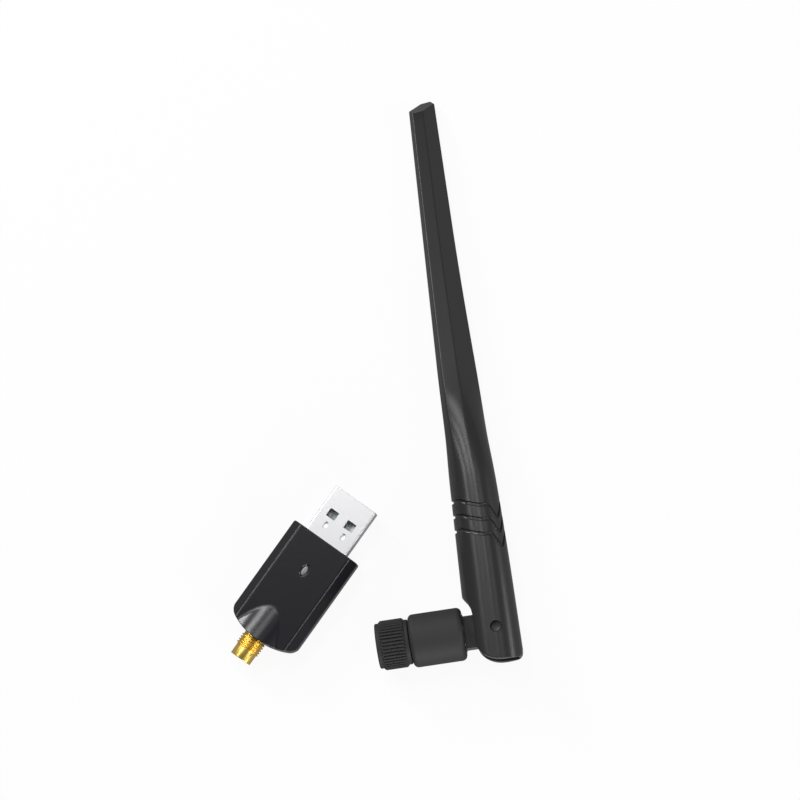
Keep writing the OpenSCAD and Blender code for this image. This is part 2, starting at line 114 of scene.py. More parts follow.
def adapter_axes() -> Axes:
    """Axes of the adapter: +Y towards the plug, origin under the housing."""
    plug = Vector(named(frame["record"]["mounts"], "computer_plug")["axis"])
    up = Vector((0, 0, 1))
    return Axes(Vector((0, 0, 0)), plug.cross(up), plug, up)


def antenna_axes() -> Axes:
    """Axes of the antenna: hinge on Z, mast towards +Y, nut towards -X."""
    fold = named(frame["joints"], "mast_fold")
    base = Vector(named(frame["joints"], "swivel_turn")["axis"]).normalized()
    hinge = Vector(fold["axis"]).normalized()
    return Axes(Vector(fold["pos_m"]), base, hinge.cross(base), hinge)


def smooth(t: np.ndarray) -> np.ndarray:
    """Eases 0 to 1 with level ends."""
    u = np.clip(t, 0, 1)
    return u * u * (3 - 2 * u)


def soft_min(a: np.ndarray, b: np.ndarray, k: float) -> np.ndarray:
    """The lower of two heights, rounded over a width k where they cross."""
    h = np.maximum(k - np.abs(a - b), 0) / k
    return np.minimum(a, b) - h * h * k / 4


def soft_max(a: np.ndarray, b: np.ndarray, k: float) -> np.ndarray:
    """The higher of two heights, rounded over a width k where they cross."""
    return -soft_min(-np.asarray(a), -np.asarray(b), k)


def fillet_drop(depth: np.ndarray, r: float) -> np.ndarray:
    """How far a rounded edge of radius r lies below its face, at a distance from the edge."""
    d = np.clip(r - depth, 0, r)
    return r - np.sqrt(r * r - d * d)


def spaced(stops: Sequence[Pair]) -> np.ndarray:
    """Stations along a line.

    Args:
        stops: (place, step) pairs; each step fills the stretch up to the next place.

    Returns:
        Rising places, the first and last of them exact.
    """
    out: list[float] = []
    for (a, step), (b, _) in zip(stops, stops[1:]):
        count = max(1, round((b - a) / step))
        out += [a + (b - a) * i / count for i in range(count)]
    return np.array(out + [stops[-1][0]])


def rounded(corners: Sequence[tuple[float, float, float]], steps: int = 5) -> np.ndarray:
    """A closed outline with its corners rounded.

    Args:
        corners: (x, y, radius) of each corner, in order.
        steps: points on each rounded corner, less one.

    Returns:
        Points of the outline, one row each.
    """
    out = []
    count = len(corners)
    for i, (x, y, r) in enumerate(corners):
        here = np.array([x, y])
        before = np.array(corners[i - 1][:2]) - here
        after = np.array(corners[(i + 1) % count][:2]) - here
        if r == 0:
            out.append(here)
            continue
        a, b = before / np.linalg.norm(before), after / np.linalg.norm(after)
        half = math.acos(float(np.clip(a @ b, -1, 1))) / 2
        reach = r / math.tan(half)
        centre = here + (a + b) / np.linalg.norm(a + b) * r / math.sin(half)
        start, end = here + a * reach - centre, here + b * reach - centre
        from_angle = math.atan2(start[1], start[0])
        turn = (math.atan2(end[1], end[0]) - from_angle + HALF_TURN) % FULL_TURN - HALF_TURN
        for k in range(steps + 1):
            angle = from_angle + turn * k / steps
            out.append(centre + r * np.array([math.cos(angle), math.sin(angle)]))
    return np.array(out)


# ---------- meshes ----------
class Form:
    """Makes mesh objects from rows of points, in one set of axes."""

    def __init__(self, axes: Axes) -> None:
        self.axes = axes

    def mesh(self, name: str, points: np.ndarray, faces: Sequence[Sequence[int]]) -> bpy.types.Object:
        """A clean closed mesh: doubles merged and faces turned outwards.

        Args:
            name: the object's name.
            points: local points in millimetres, one row each.
            faces: indices of each face's points.

        Returns:
            The object, with its place in its mesh.
        """
        data = bpy.data.meshes.new(name)
        data.from_pydata([tuple(p) for p in points], [], faces)
        work = bmesh.new()
        work.from_mesh(data)
        bmesh.ops.remove_doubles(work, verts=work.verts, dist=MERGE)
        bmesh.ops.dissolve_degenerate(work, edges=work.edges, dist=MERGE)
        bmesh.ops.recalc_face_normals(work, faces=work.faces)
        work.to_mesh(data)
        work.free()
        data.transform(self.axes.matrix())
        thing = bpy.data.objects.new(name, data)
        bpy.context.scene.collection.objects.link(thing)
        return thing

    def loft(self, name: str, rows: Rows, closed: bool = False) -> bpy.types.Object:
        """A skin over rings of points.

        Args:
            name: the object's name.
            rows: rings with equal numbers of points; each ring closes on itself.
            closed: whether the last ring joins the first; otherwise both ends are capped.

        Returns:
            The object.
        """
        grid = np.array(rows)
        count, around = grid.shape[:2]
        faces: list[list[int]] = []
        for i in range(count if closed else count - 1):
            a, b = i * around, (i + 1) % count * around
            for j in range(around):
                k = (j + 1) % around
                faces.append([a + j, a + k, b + k, b + j])
        if not closed:
            faces.append(list(range(around)))
            faces.append(list(range((count - 1) * around, count * around)))
        return self.mesh(name, grid.reshape(-1, 3), faces)

    def lathe(self, name: str, outline: np.ndarray, sides: int = 128) -> bpy.types.Object:
        """A turned piece about the X axis.

        Args:
            name: the object's name.
            outline: closed outline of (place along X, radius).
            sides: points round the piece.

        Returns:
            The object.
        """
        angles = np.arange(sides) * FULL_TURN / sides
        rows = [np.stack([np.full(sides, x), r * np.cos(angles), r * np.sin(angles)], 1)
                for x, r in outline]
        return self.loft(name, rows, closed=True)

    def prism(self, name: str, outline: np.ndarray, low: float, high: float) -> bpy.types.Object:
        """An outline in X and Y, raised from one height to another."""
        rows = [np.column_stack([outline, np.full(len(outline), z)]) for z in (low, high)]
        return self.loft(name, rows)

    def tube(self, name: str, route: np.ndarray, r: float, sides: int = 24) -> bpy.types.Object:
        """A round bar along a flat route in X and Y."""
        ahead = np.gradient(route, axis=0)
        ahead /= np.linalg.norm(ahead, axis=1)[:, None]
        side = np.stack([-ahead[:, 1], ahead[:, 0], np.zeros(len(route))], 1)
        rows = []
        for at, out in zip(route, side):
            angles = np.arange(sides) * FULL_TURN / sides
            rows.append(at + r * (np.cos(angles)[:, None] * out
                                  + np.sin(angles)[:, None] * np.array([0, 0, 1])))
        return self.loft(name, rows)


def finished(thing: bpy.types.Object) -> bpy.types.Object:
    """Turns an object's modifiers into its plain mesh."""
    bpy.context.view_layer.update()
    graph = bpy.context.evaluated_depsgraph_get()
    plain = bpy.data.meshes.new_from_object(thing.evaluated_get(graph), depsgraph=graph)
    thing.modifiers.clear()
    thing.data = plain
    return thing


def combine(thing: bpy.types.Object, tool: bpy.types.Object, operation: str) -> bpy.types.Object:
    """Joins, cuts or crosses two closed meshes, and removes the tool."""
    change = thing.modifiers.new("shape", "BOOLEAN")
    change.operation = operation
    change.solver = "EXACT"
    change.object = tool
    finished(thing)
    bpy.data.objects.remove(tool)
    return thing


def cut(thing: bpy.types.Object, *tools: bpy.types.Object) -> bpy.types.Object:
    """Takes each tool out of an object."""
    for tool in tools:
        combine(thing, tool, "DIFFERENCE")
    return thing


def join(thing: bpy.types.Object, *tools: bpy.types.Object) -> bpy.types.Object:
    """Adds each tool to an object."""
    for tool in tools:
        combine(thing, tool, "UNION")
    return thing


def ease_edges(thing: bpy.types.Object, width: float, segments: int = 2) -> bpy.types.Object:
    """Rounds the sharp edges of an object by a width in millimetres."""
    change = thing.modifiers.new("edges", "BEVEL")
    change.width = width * MM
    change.segments = segments
    change.limit_method = "ANGLE"
    change.angle_limit = math.radians(SHARP_EDGE)
    change.use_clamp_overlap = True
    return finished(thing)


def shade(thing: bpy.types.Object, angle: float = 32) -> None:
    """Smooths the shading up to an angle in degrees, with large flat faces kept flat."""
    thing.data.shade_smooth()
    thing.data.set_sharp_from_angle(angle=math.radians(angle))
    change = thing.modifiers.new("normals", "WEIGHTED_NORMAL")
    change.keep_sharp = True
    change.weight = FLAT_WEIGHT
    finished(thing)


# ---------- node trees ----------
class Value:
    """One output socket; arithmetic on it adds Math nodes."""

    def __init__(self, sheet: "Sheet", socket: bpy.types.NodeSocket) -> None:
        self.sheet = sheet
        self.socket = socket

    def _math(self, operation: str, *terms: "Term") -> "Value":
        """A Math node on these terms."""
        return self.sheet.add("ShaderNodeMath", dict(enumerate(terms)), operation=operation)

    def __add__(self, other: "Term") -> "Value":
        """Sum."""
        return self._math("ADD", self, other)

    def __sub__(self, other: "Term") -> "Value":
        """Difference."""
        return self._math("SUBTRACT", self, other)

    def __rsub__(self, other: "Term") -> "Value":
        """Difference from a number."""
        return self._math("SUBTRACT", other, self)

    def __mul__(self, other: "Term") -> "Value":
        """Product."""
        return self._math("MULTIPLY", self, other)

    def __truediv__(self, other: "Term") -> "Value":
        """Quotient."""
        return self._math("DIVIDE", self, other)

    __radd__ = __add__
    __rmul__ = __mul__

    def apply(self, operation: str, *others: "Term") -> "Value":
        """Any other Math operation on this value."""
        return self._math(operation, self, *others)

    def beside(self, name: Union[int, str]) -> "Value":
        """Another output of the same node."""
        return Value(self.sheet, self.socket.node.outputs[name])

    def ramp(self, low: float, high: float) -> "Value":
        """0 below low and 1 above high, eased between."""
        return self.sheet.add("ShaderNodeMapRange", {0: self, 1: low, 2: high},
                              interpolation_type="SMOOTHSTEP")


Term = Union[Value, float]


class Sheet:
    """Adds nodes to one tree, of materials or of geometry."""

    def __init__(self, tree: bpy.types.NodeTree) -> None:
        self.tree = tree

    def add(self, kind: str, inputs: dict, out: Union[int, str] = 0, **settings: object) -> Value:
        """Adds any node.

        Args:
            kind: the node's type.
            inputs: values or links, by socket name or number.
            out: which output to give back.
            **settings: the node's own settings, which are set first; stops are a ramp's.

        Returns:
            The chosen output.
        """
        node = self.tree.nodes.new(kind)
        stops = settings.pop("stops", None)
        for key, value in settings.items():
            setattr(node, key, value)
        if stops:
            ramp = node.color_ramp
            while len(ramp.elements) < len(stops):
                ramp.elements.new(0.5)
            for element, (place, colour) in zip(ramp.elements, stops):
                element.position = place
                element.color = colour
        for key, value in inputs.items():
            if isinstance(value, Value):
                self.tree.links.new(value.socket, node.inputs[key])
            else:
                node.inputs[key].default_value = value
        return Value(self, node.outputs[out] if node.outputs else None)


def rgba(colour: Colour) -> tuple[float, float, float, float]:
    """A colour with full alpha."""
    return (*colour, 1.0)


class Ripple(Enum):
    """The wave that runs over a turned surface."""

    THREAD = "thread"
    RIBS = "ribs"


@dataclass(frozen=True)
class RippledBar:
    """A closed bar along X whose surface carries a thread or lengthwise ribs.

    Its Geometry Nodes tree bends a grid into a bar: the wave lowers the surface by depth, and
    runs count times round the bar and turns times along it.
    """

    kind: Ripple
    radius: float
    depth: float
    start: float
    length: float
    count: float
    turns: float
    fade: float
    crest: float

    def tree(self, around: int, along: int, material: bpy.types.Material) -> bpy.types.NodeTree:
        """The Geometry Nodes tree of this kind of bar."""
        tree = bpy.data.node_groups.new(self.kind.value + "_bar", "GeometryNodeTree")
        face = tree.interface
        for name in ("Radius", "Depth", "Start", "Length", "Count", "Turns", "Fade", "Crest"):
            face.new_socket(name, in_out="INPUT", socket_type="NodeSocketFloat")
        face.new_socket("Geometry", in_out="OUTPUT", socket_type="NodeSocketGeometry")
        sheet = Sheet(tree)
        entry = sheet.add("NodeGroupInput", {})
        radius, depth, start, length, count, turns, fade, crest = map(entry.beside, range(8))
        grid = sheet.add("GeometryNodeMeshGrid", {"Vertices X": around + 1,
                                                  "Vertices Y": along + 1})
        index = sheet.add("GeometryNodeInputIndex", {})
        row = index.apply("MODULO", along + 1)
        column = index.apply("DIVIDE", along + 1).apply("FLOOR")
        u = column / around
        v = (row - 1).apply("MAXIMUM", 0.0).apply("MINIMUM", along - 2.0) / (along - 2)
        phase = (u * count + v * turns).apply("FRACT")
        wave = ((phase - 0.5).apply("ABSOLUTE") * 2).ramp(0.0, 1.0)
        wave = ((wave - crest) / (1 - crest)).apply("MAXIMUM", 0.0)
        edge = (v * length / fade).apply("MINIMUM", (1 - v) * length / fade)
        edge = 1 - edge.apply("MINIMUM", 1.0)
        pole = row.apply("COMPARE", 0.0, 0.1) + row.apply("COMPARE", float(along), 0.1)
        r = (radius - depth * wave.apply("MAXIMUM", edge)) * (1 - pole)
        angle = u * FULL_TURN
        place = sheet.add("ShaderNodeCombineXYZ", {0: start + v * length,
                                                   1: r * angle.apply("COSINE"),
                                                   2: r * angle.apply("SINE")})
        moved = sheet.add("GeometryNodeSetPosition", {"Geometry": grid, "Position": place})
        merged = sheet.add("GeometryNodeMergeByDistance", {"Geometry": moved, "Distance": BAR_MERGE})
        whole = sheet.add("GeometryNodeRealizeInstances", {"Geometry": merged})
        dressed = sheet.add("GeometryNodeSetMaterial", {"Geometry": whole, "Material": material})
        sheet.add("NodeGroupOutput", {0: dressed})
        return tree

    def build(self, form: Form, around: int, along: int,
              material: bpy.types.Material) -> bpy.types.Object:
        """The bar as a plain closed mesh in its sub-assembly's axes."""
        tree = self.tree(around, along, material)
        thing = bpy.data.objects.new(self.kind.value, bpy.data.meshes.new(self.kind.value))
        bpy.context.scene.collection.objects.link(thing)
        change = thing.modifiers.new("bar", "NODES")
        change.node_group = tree
        sizes = (self.radius, self.depth, self.start, self.length, self.count, self.turns,
                 self.fade, self.crest)
        sockets = [s for s in tree.interface.items_tree if s.in_out == "INPUT"]
        for socket, size in zip(sockets, sizes):
            change[socket.identifier] = float(size)
        finished(thing)
        work = bmesh.new()
        work.from_mesh(thing.data)
        bmesh.ops.remove_doubles(work, verts=work.verts, dist=BAR_MERGE)
        bmesh.ops.recalc_face_normals(work, faces=work.faces)
        work.to_mesh(thing.data)
        work.free()
        thing.data.transform(form.axes.matrix())
        return thing


# ---------- finishes ----------
@dataclass(frozen=True)
class Finish:
    """A procedural surface; each kind of finish paints its own sheet of nodes."""

    name: str
    colour: Colour
    roughness: float

    def material(self) -> bpy.types.Material:
        """The material, made once."""
        made = bpy.data.materials.get(self.name)
        if made is None:
            made = bpy.data.materials.new(self.name)
            made.use_nodes = True
            made.node_tree.nodes.clear()
            sheet = Sheet(made.node_tree)
            surface = self.paint(sheet)
            sheet.add("ShaderNodeOutputMaterial", {"Surface": surface})
        return made

    def paint(self, sheet: Sheet) -> Value:
        """The surface shader."""
        raise NotImplementedError

    @staticmethod
    def place(sheet: Sheet) -> Value:
        """Object coordinates, in metres."""
        return sheet.add("ShaderNodeTexCoord", {}, out="Object")

    @staticmethod
    def noise(sheet: Sheet, place: Value, size: float, detail: float = 3.0,
              stretch: Vector = Vector((1, 1, 1))) -> Value:
        """Noise whose grains are about size millimetres, 0 to 1.

        Args:
            sheet: the tree.
            place: coordinates in metres.
            size: size of a grain, in millimetres.
            detail: octaves of finer noise.
            stretch: how much longer the grains are along each axis.

        Returns:
            The noise value.
        """
        scale = tuple(1 / (size * MM * s) for s in stretch)
        scaled = sheet.add("ShaderNodeVectorMath", {0: place, 1: scale}, operation="MULTIPLY")
        return sheet.add("ShaderNodeTexNoise", {"Vector": scaled, "Scale": 1.0, "Detail": detail})

    @staticmethod
    def tint(sheet: Sheet, share: Term, a: Colour, b: Colour) -> Value:
        """A colour between two, by a share from 0 to 1."""
        return sheet.add("ShaderNodeMix", {"Factor": share, 6: rgba(a), 7: rgba(b)}, out=2,
                         data_type="RGBA")

    @staticmethod
    def bump(sheet: Sheet, height: Value, depth: float, strength: float = 1.0) -> Value:
        """A bumped normal from a height of 0 to 1 that stands for depth millimetres."""
        return sheet.add("ShaderNodeBump", {"Strength": strength, "Distance": depth * MM,
                                            "Height": height})


@dataclass(frozen=True)
class MouldedPlastic(Finish):
    """Moulded plastic with a fine grain, faint handling marks and a little mottle."""

    grain: float = 0.12
    grain_depth: float = 0.004
    marks: float = 0.06
    lift: Colour = (0.004, 0.004, 0.0045)
    specular: float = 0.5
    coat: float = 0.0

    def paint(self, sheet: Sheet) -> Value:
        """Grain in the normal, marks in the roughness, mottle in the colour."""
        place = self.place(sheet)
        grain = self.noise(sheet, place, self.grain, 4.0)
        cloud = self.noise(sheet, place, 9.0, 3.0)
        scuff = self.noise(sheet, place, 1.1, 5.0, Vector((1, 3, 1)))
        lighter = tuple(c + up for c, up in zip(self.colour, self.lift))
        mottle = (grain * 0.4 + cloud * 0.6).ramp(0.3, 0.7)
        rough = self.roughness + (cloud - 0.5) * self.marks + (scuff - 0.5) * self.marks
        return sheet.add("ShaderNodeBsdfPrincipled", {
            "Base Color": self.tint(sheet, mottle, self.colour, lighter),
            "Roughness": rough,
            "Specular IOR Level": self.specular,
            "Coat Weight": self.coat,
            "Coat Roughness": 0.04,
            "Normal": self.bump(sheet, grain, self.grain_depth)})


@dataclass(frozen=True)
class ErodedPlastic(Finish):
    """Spark-eroded plastic: a coarse texture of rounded pits, whose sparkle is partly a painted highlight on the
    pit rims.
    """

    pit: float = 0.3
    pit_depth: float = 0.012
    specular: float = 0.5

    def paint(self, sheet: Sheet) -> Value:
        """Pits from cells and noise, with a painted highlight: the raised rims are painted paler, as their glints.
        """
        place = self.place(sheet)
        scaled = sheet.add("ShaderNodeVectorMath", {0: place, "Scale": 1 / (self.pit * MM)},
                           operation="SCALE")
        cells = sheet.add("ShaderNodeTexVoronoi", {"Vector": scaled, "Scale": 1.0},
                          feature="SMOOTH_F1")
        fine = self.noise(sheet, place, self.pit * 0.35, 4.0)
        height = cells.ramp(0.1, 0.8) * 0.6 + fine * 0.4
        # painted highlight: the raised pit rims are tinted paler, standing in for their glints of sparkle
        rim_glint = tuple(c * 2 + 0.002 for c in self.colour)
        return sheet.add("ShaderNodeBsdfPrincipled", {
            "Base Color": self.tint(sheet, height.ramp(0.35, 0.8), self.colour, rim_glint),
            "Roughness": self.roughness + (fine - 0.5) * 0.25,
            "Specular IOR Level": self.specular,
            "Normal": self.bump(sheet, height, self.pit_depth)})


@dataclass(frozen=True)
class Metal(Finish):
    """Plated or brushed metal: fine lines along one axis, dulled patches and a warm or cool shade."""

    shade: Colour = (0.5, 0.5, 0.5)
    grain: float = 0.05
    stretch: tuple[float, float, float] = (1.0, 1.0, 1.0)
    grain_depth: float = 0.0015
    patches: float = 0.08

    def paint(self, sheet: Sheet) -> Value:
        """Brush lines in the normal, patches in roughness and colour."""
        place = self.place(sheet)
        lines = self.noise(sheet, place, self.grain, 3.0, Vector(self.stretch))
        patch = self.noise(sheet, place, 2.4, 4.0)
        share = (patch * 0.7 + lines * 0.3).ramp(0.35, 0.7)
        return sheet.add("ShaderNodeBsdfPrincipled", {
            "Base Color": self.tint(sheet, share, self.colour, self.shade),
            "Metallic": 1.0,
            "Roughness": self.roughness + (patch - 0.5) * self.patches + (lines - 0.5) * 0.06,
            "Normal": self.bump(sheet, lines, self.grain_depth)})


@dataclass(frozen=True)
class Laminate(Finish):
    """Circuit board: lacquered glass weave with faint copper lines under the lacquer."""

    line: Colour = (0.02, 0.11, 0.05)

    def paint(self, sheet: Sheet) -> Value:
        """Woven glass in the normal, lines in the colour."""
        place = self.place(sheet)
        weave = self.noise(sheet, place, 0.4, 2.0, Vector((4, 1, 1)))
        cross = self.noise(sheet, place, 0.4, 2.0, Vector((1, 4, 1)))
        scaled = sheet.add("ShaderNodeVectorMath", {0: place, "Scale": 1 / (1.6 * MM)},
                           operation="SCALE")
        tracks = sheet.add("ShaderNodeTexVoronoi", {"Vector": scaled, "Scale": 1.0},
                           feature="DISTANCE_TO_EDGE").ramp(0.04, 0.1)
        height = weave * 0.5 + cross * 0.5
        return sheet.add("ShaderNodeBsdfPrincipled", {
            "Base Color": self.tint(sheet, tracks, self.line, self.colour),
            "Roughness": self.roughness + (height - 0.5) * 0.2,
            "Coat Weight": 0.4,
            "Normal": self.bump(sheet, height - tracks * 0.4, 0.01)})


@dataclass(frozen=True)
class Lens(Finish):
    """Moulded translucent window over the lamp: satin, with paler clouds."""

    rim: Colour = (0.1, 0.104, 0.11)

    def paint(self, sheet: Sheet) -> Value:
        """Satin grey with a soft clouding."""
        place = self.place(sheet)
        cloud = self.noise(sheet, place, 0.7, 3.0)
        fine = self.noise(sheet, place, 0.08, 2.0)
        return sheet.add("ShaderNodeBsdfPrincipled", {
            "Base Color": self.tint(sheet, cloud.ramp(0.35, 0.65), self.colour, self.rim),
            "Roughness": self.roughness + (fine - 0.5) * 0.15,
            "Coat Weight": 0.5,
            "Normal": self.bump(sheet, fine, 0.003)})


GLOSS_BLACK = MouldedPlastic("gloss_black", (0.0025, 0.0025, 0.0028), 0.08, grain=0.25,
                             grain_depth=0.0006, marks=0.03, lift=(0.001, 0.001, 0.0012),
                             specular=0.14)
MAST_BLACK = MouldedPlastic("mast_black", (0.002, 0.002, 0.0021), 0.31, grain=0.1,
                            grain_depth=0.0025, marks=0.05, lift=(0.0025, 0.0025, 0.0026),
                            specular=0.37)
KNURLED_BLACK = MouldedPlastic("knurled_black", (0.003, 0.003, 0.0031), 0.2, grain=0.15,
                               grain_depth=0.002, marks=0.06, lift=(0.0025, 0.0025, 0.0026),
                               specular=0.77)
PIN_BLACK = MouldedPlastic("pin_black", (0.03, 0.03, 0.031), 0.4, grain=0.08,
                           grain_depth=0.004, marks=0.1)
TEXTURED_BLACK = ErodedPlastic("textured_black", (0.0025, 0.0025, 0.0026), 0.28,
                               specular=0.35)
STEEL = Metal("plug_steel", (0.86, 0.86, 0.855), 0.26, shade=(0.76, 0.76, 0.755), grain=0.04,
              stretch=(1, 1, 1), grain_depth=0.0006, patches=0.05)
GOLD = Metal("gold_plate", (1.0, 0.7, 0.18), 0.13, shade=(0.9, 0.55, 0.1), grain=0.06,
             grain_depth=0.001, patches=0.1)
SPRING_STEEL = Metal("spring_steel", (0.55, 0.55, 0.56), 0.3, shade=(0.42, 0.42, 0.43))
TIN = Metal("can_tin", (0.72, 0.73, 0.74), 0.35, shade=(0.6, 0.61, 0.62))
COPPER = Metal("copper", (0.85, 0.42, 0.22), 0.3, shade=(0.6, 0.26, 0.13))
WHITE_INSULATOR = MouldedPlastic("white_insulator", (0.8, 0.78, 0.72), 0.4,
                                 lift=(0.06, 0.06, 0.06))
TONGUE = MouldedPlastic("tongue_plastic", (0.2, 0.235, 0.23), 0.25, lift=(0.04, 0.05, 0.05))
BOARD = Laminate("board_green", (0.008, 0.06, 0.028), 0.4)
CHIP = MouldedPlastic("chip_black", (0.012, 0.012, 0.012), 0.5, grain=0.06)
CERAMIC = MouldedPlastic("ceramic_tan", (0.42, 0.33, 0.22), 0.5, lift=(0.1, 0.08, 0.05))
LAMP_WHITE = MouldedPlastic("lamp_white", (0.75, 0.74, 0.66), 0.3, lift=(0.1, 0.1, 0.1))
LENS = Lens("lens_grey", (0.05, 0.052, 0.056), 0.2)
LEAD_JACKET = MouldedPlastic("lead_jacket", (0.012, 0.012, 0.013), 0.45, grain=0.3)

NODE_FINISHES = {
    "signal_lamp": LAMP_WHITE, "circuit_board": BOARD, "radio_chip": CHIP, "shield_can": TIN,
    "crystal": TIN, "small_components": CERAMIC, "plug_insulator": TONGUE,
    "plug_contacts": SPRING_STEEL,
    "jack_insulator": WHITE_INSULATOR, "jack_contact": GOLD, "retaining_ring": SPRING_STEEL,
    "connector_body": GOLD, "connector_insulator": WHITE_INSULATOR, "connector_contact": GOLD,
    "coupling_nut": GOLD, "radiator_board": BOARD, "radiator_traces": COPPER}


def dress_frame() -> None:
    """Gives every carried-over node its finish; the shown ones keep their shape."""
    for name, thing in frame["nodes"].items():
        finish = NODE_FINISHES.get(name, MAST_BLACK)
        thing.data.materials.clear()
        thing.data.materials.append(finish.material())


def hand_in(thing: bpy.types.Object, name: str, finish: Finish, body: Body, *nodes: str,
            angle: float = 32) -> bpy.types.Object:
    """Dresses a finished piece and hands it to the frame.

    Args:
        thing: the piece.
        name: its name.
        finish: its surface.
        body: the body that carries it.
        *nodes: the nodes that it stands for.
        angle: sharpest angle that is shaded smooth, in degrees.

    Returns:
        The piece.
    """
    thing.name = name
    thing.data.materials.clear()
    thing.data.materials.append(finish.material())
    for face in thing.data.polygons:
        face.material_index = 0
    shade(thing, angle)
    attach(thing, body.value)
    if nodes:
        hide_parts(*nodes)
    log.info("%s: %d faces on %s", name, len(thing.data.polygons), body.value)
    return thing


# ---------- adapter ----------
@dataclass
class Housing:
    """The two glossy shells, the lamp window and the dome over the jack."""

    form: Form
    width: float = 19.0
    length: float = 29.2
    height: float = 8.0
    wall: float = 1.2
    end_bow: float = 2.9
    slope_w: float = 2.1
    slope_h: float = 2.4
    under_slope: float = 1.6
    seam: float = 4.29
    edge_r: float = 0.22
    crease_w: float = 0.35
    back_corner_r: float = 1.6
    front_corner_r: float = 0.5
    dome_x: float = -0.7
    dome_r: float = 9.8
    dome_l: float = 7.6
    dome_h: float = 1.8
    lamp_y: float = 5.8
    lamp_l: float = 2.6
    lamp_w: float = 1.4
    recess: float = 0.35
    lamp_sink: float = 0.25

    def ends(self, x: np.ndarray, inset: float) -> tuple[np.ndarray, np.ndarray]:
        """Where the plan starts and ends along Y, for places across the housing."""
        half = self.width / 2 - inset
        r = ((self.width / 2) ** 2 + self.end_bow ** 2) / (2 * self.end_bow)
        back = r - self.length / 2 - np.sqrt((r - inset) ** 2 - x ** 2)
        front = np.full_like(x, self.length / 2 - inset)
        from_side = half - np.abs(x)
        back_r, front_r = self.back_corner_r, self.front_corner_r
        back = back + fillet_drop(from_side, back_r) * 0.8
        front = front - fillet_drop(from_side, front_r)
        return back, front

    def edge_distance(self, x: np.ndarray, y: np.ndarray, inset: float) -> np.ndarray:
        """Distance from the plan's edge."""
        back, front = self.ends(x, inset)
        return np.minimum(self.width / 2 - inset - np.abs(x), np.minimum(y - back, front - y))

    def top(self, x: np.ndarray, y: np.ndarray) -> np.ndarray:
        """Height of the upper shell's outer face."""
        side = self.height - (np.abs(x) - self.width / 2 + self.slope_w) * self.slope_h / self.slope_w
        flat = soft_min(np.full_like(x, self.height), side, self.crease_w)
        tilt = math.atan(self.dome_h / self.dome_l)
        axis = self.height + self.dome_h - self.dome_r - (y + self.length / 2) * math.tan(tilt)
        across = np.clip(np.abs(x - self.dome_x), 0, self.dome_r - 0.01)
        dome = axis + np.sqrt(self.dome_r ** 2 - across ** 2) / math.cos(tilt)
        return soft_max(flat, dome, 0.12)

    def under(self, x: np.ndarray, y: np.ndarray) -> np.ndarray:
        """Height of the lower shell's outer face."""
        side = (np.abs(x) - self.width / 2 + self.under_slope)
        return soft_max(np.zeros_like(x), side, self.crease_w)

    def lamp_ring(self, x: np.ndarray, y: np.ndarray) -> np.ndarray:
        """Depth of the oval recess round the lamp window."""
        a, b = self.lamp_w / 2 + self.recess, self.lamp_l / 2 + self.recess
        far = np.sqrt((x / a) ** 2 + ((y - self.lamp_y) / b) ** 2)
        return self.lamp_sink * (1 - smooth((far - 0.84) / 0.2))

    def skin(self, upper: bool, inset: float) -> tuple[np.ndarray, int, int]:
        """One face of a shell, as a grid of points that ends on the seam.

        Args:
            upper: whether it is the upper shell's.
            inset: depth below the outer face.

        Returns:
            The points, and the numbers of columns and rows.
        """
        half = self.width / 2
        edge = 0.05
        across = spaced([(-half, edge), (-half + 0.4, 0.2), (-half + 3, 0.35), (-1.4, 0.09),
                         (1.4, 0.35), (half - 3, 0.2), (half - 0.4, edge), (half, edge)])
        lamp = self.lamp_y / self.length + 0.5
        along = spaced([(0, 0.0018), (0.02, 0.006), (0.3, 0.012), (lamp - 0.07, 0.0035),
                        (lamp + 0.07, 0.012), (0.98, 0.0018), (1, 0.0018)])
        x = across[:, None] * (half - inset) / half + np.zeros((1, len(along)))
        back, front = self.ends(x[:, :1], inset)
        y = back + (front - back) * along[None, :]
        drop = fillet_drop(self.edge_distance(x, y, inset), self.edge_r)
        if upper:
            z = self.top(x, y) - drop - inset
            if inset == 0:
                z = z - self.lamp_ring(x, y)
            z = np.maximum(z, self.seam)
        else:
            z = np.minimum(self.under(x, y) + drop + inset, self.seam)
        return np.stack([x, y, z], 2), len(across), len(along)

    def shell(self, name: str, upper: bool) -> bpy.types.Object:
        """A hollow shell: outer face, inner face, side walls and the seam's land."""
        outer, columns, rows = self.skin(upper, 0)
        inner, _, _ = self.skin(upper, self.wall)
        border = ([(i, 0) for i in range(columns)] + [(columns - 1, j) for j in range(1, rows)]
                  + [(i, rows - 1) for i in range(columns - 2, -1, -1)]
                  + [(0, j) for j in range(rows - 2, 0, -1)])
        loops = []
        for grid in (outer, inner):
            ring = np.array([grid[i, j] for i, j in border])
            steps = [ring * np.array([1, 1, 1 - t]) + np.array([0, 0, self.seam * t])
                     for t in (0.5, 0.97, 1.0)]
            loops.append(steps)
        points = [outer.reshape(-1, 3), inner.reshape(-1, 3), *loops[0], *loops[1]]
        offsets = np.cumsum([0] + [len(p) for p in points])
        faces = []
        for base in (0, offsets[1]):
            for i in range(columns - 1):
                for j in range(rows - 1):
                    a = base + i * rows + j
                    faces.append([a, a + 1, a + rows + 1, a + rows])
        count = len(border)
        chains = []
        for base, first in ((0, 2), (offsets[1], 5)):
            chain = [[base + i * rows + j for i, j in border]]
            chain += [[int(offsets[first + k]) + m for m in range(count)] for k in range(3)]
            chains.append(chain)
        strips = chains[0] + chains[1][::-1]
        for a, b in zip(strips, strips[1:]):
            for k in range(count):
                n = (k + 1) % count
                faces.append([a[k], a[n], b[n], b[k]])
        return self.form.mesh(name, np.concatenate(points), faces)

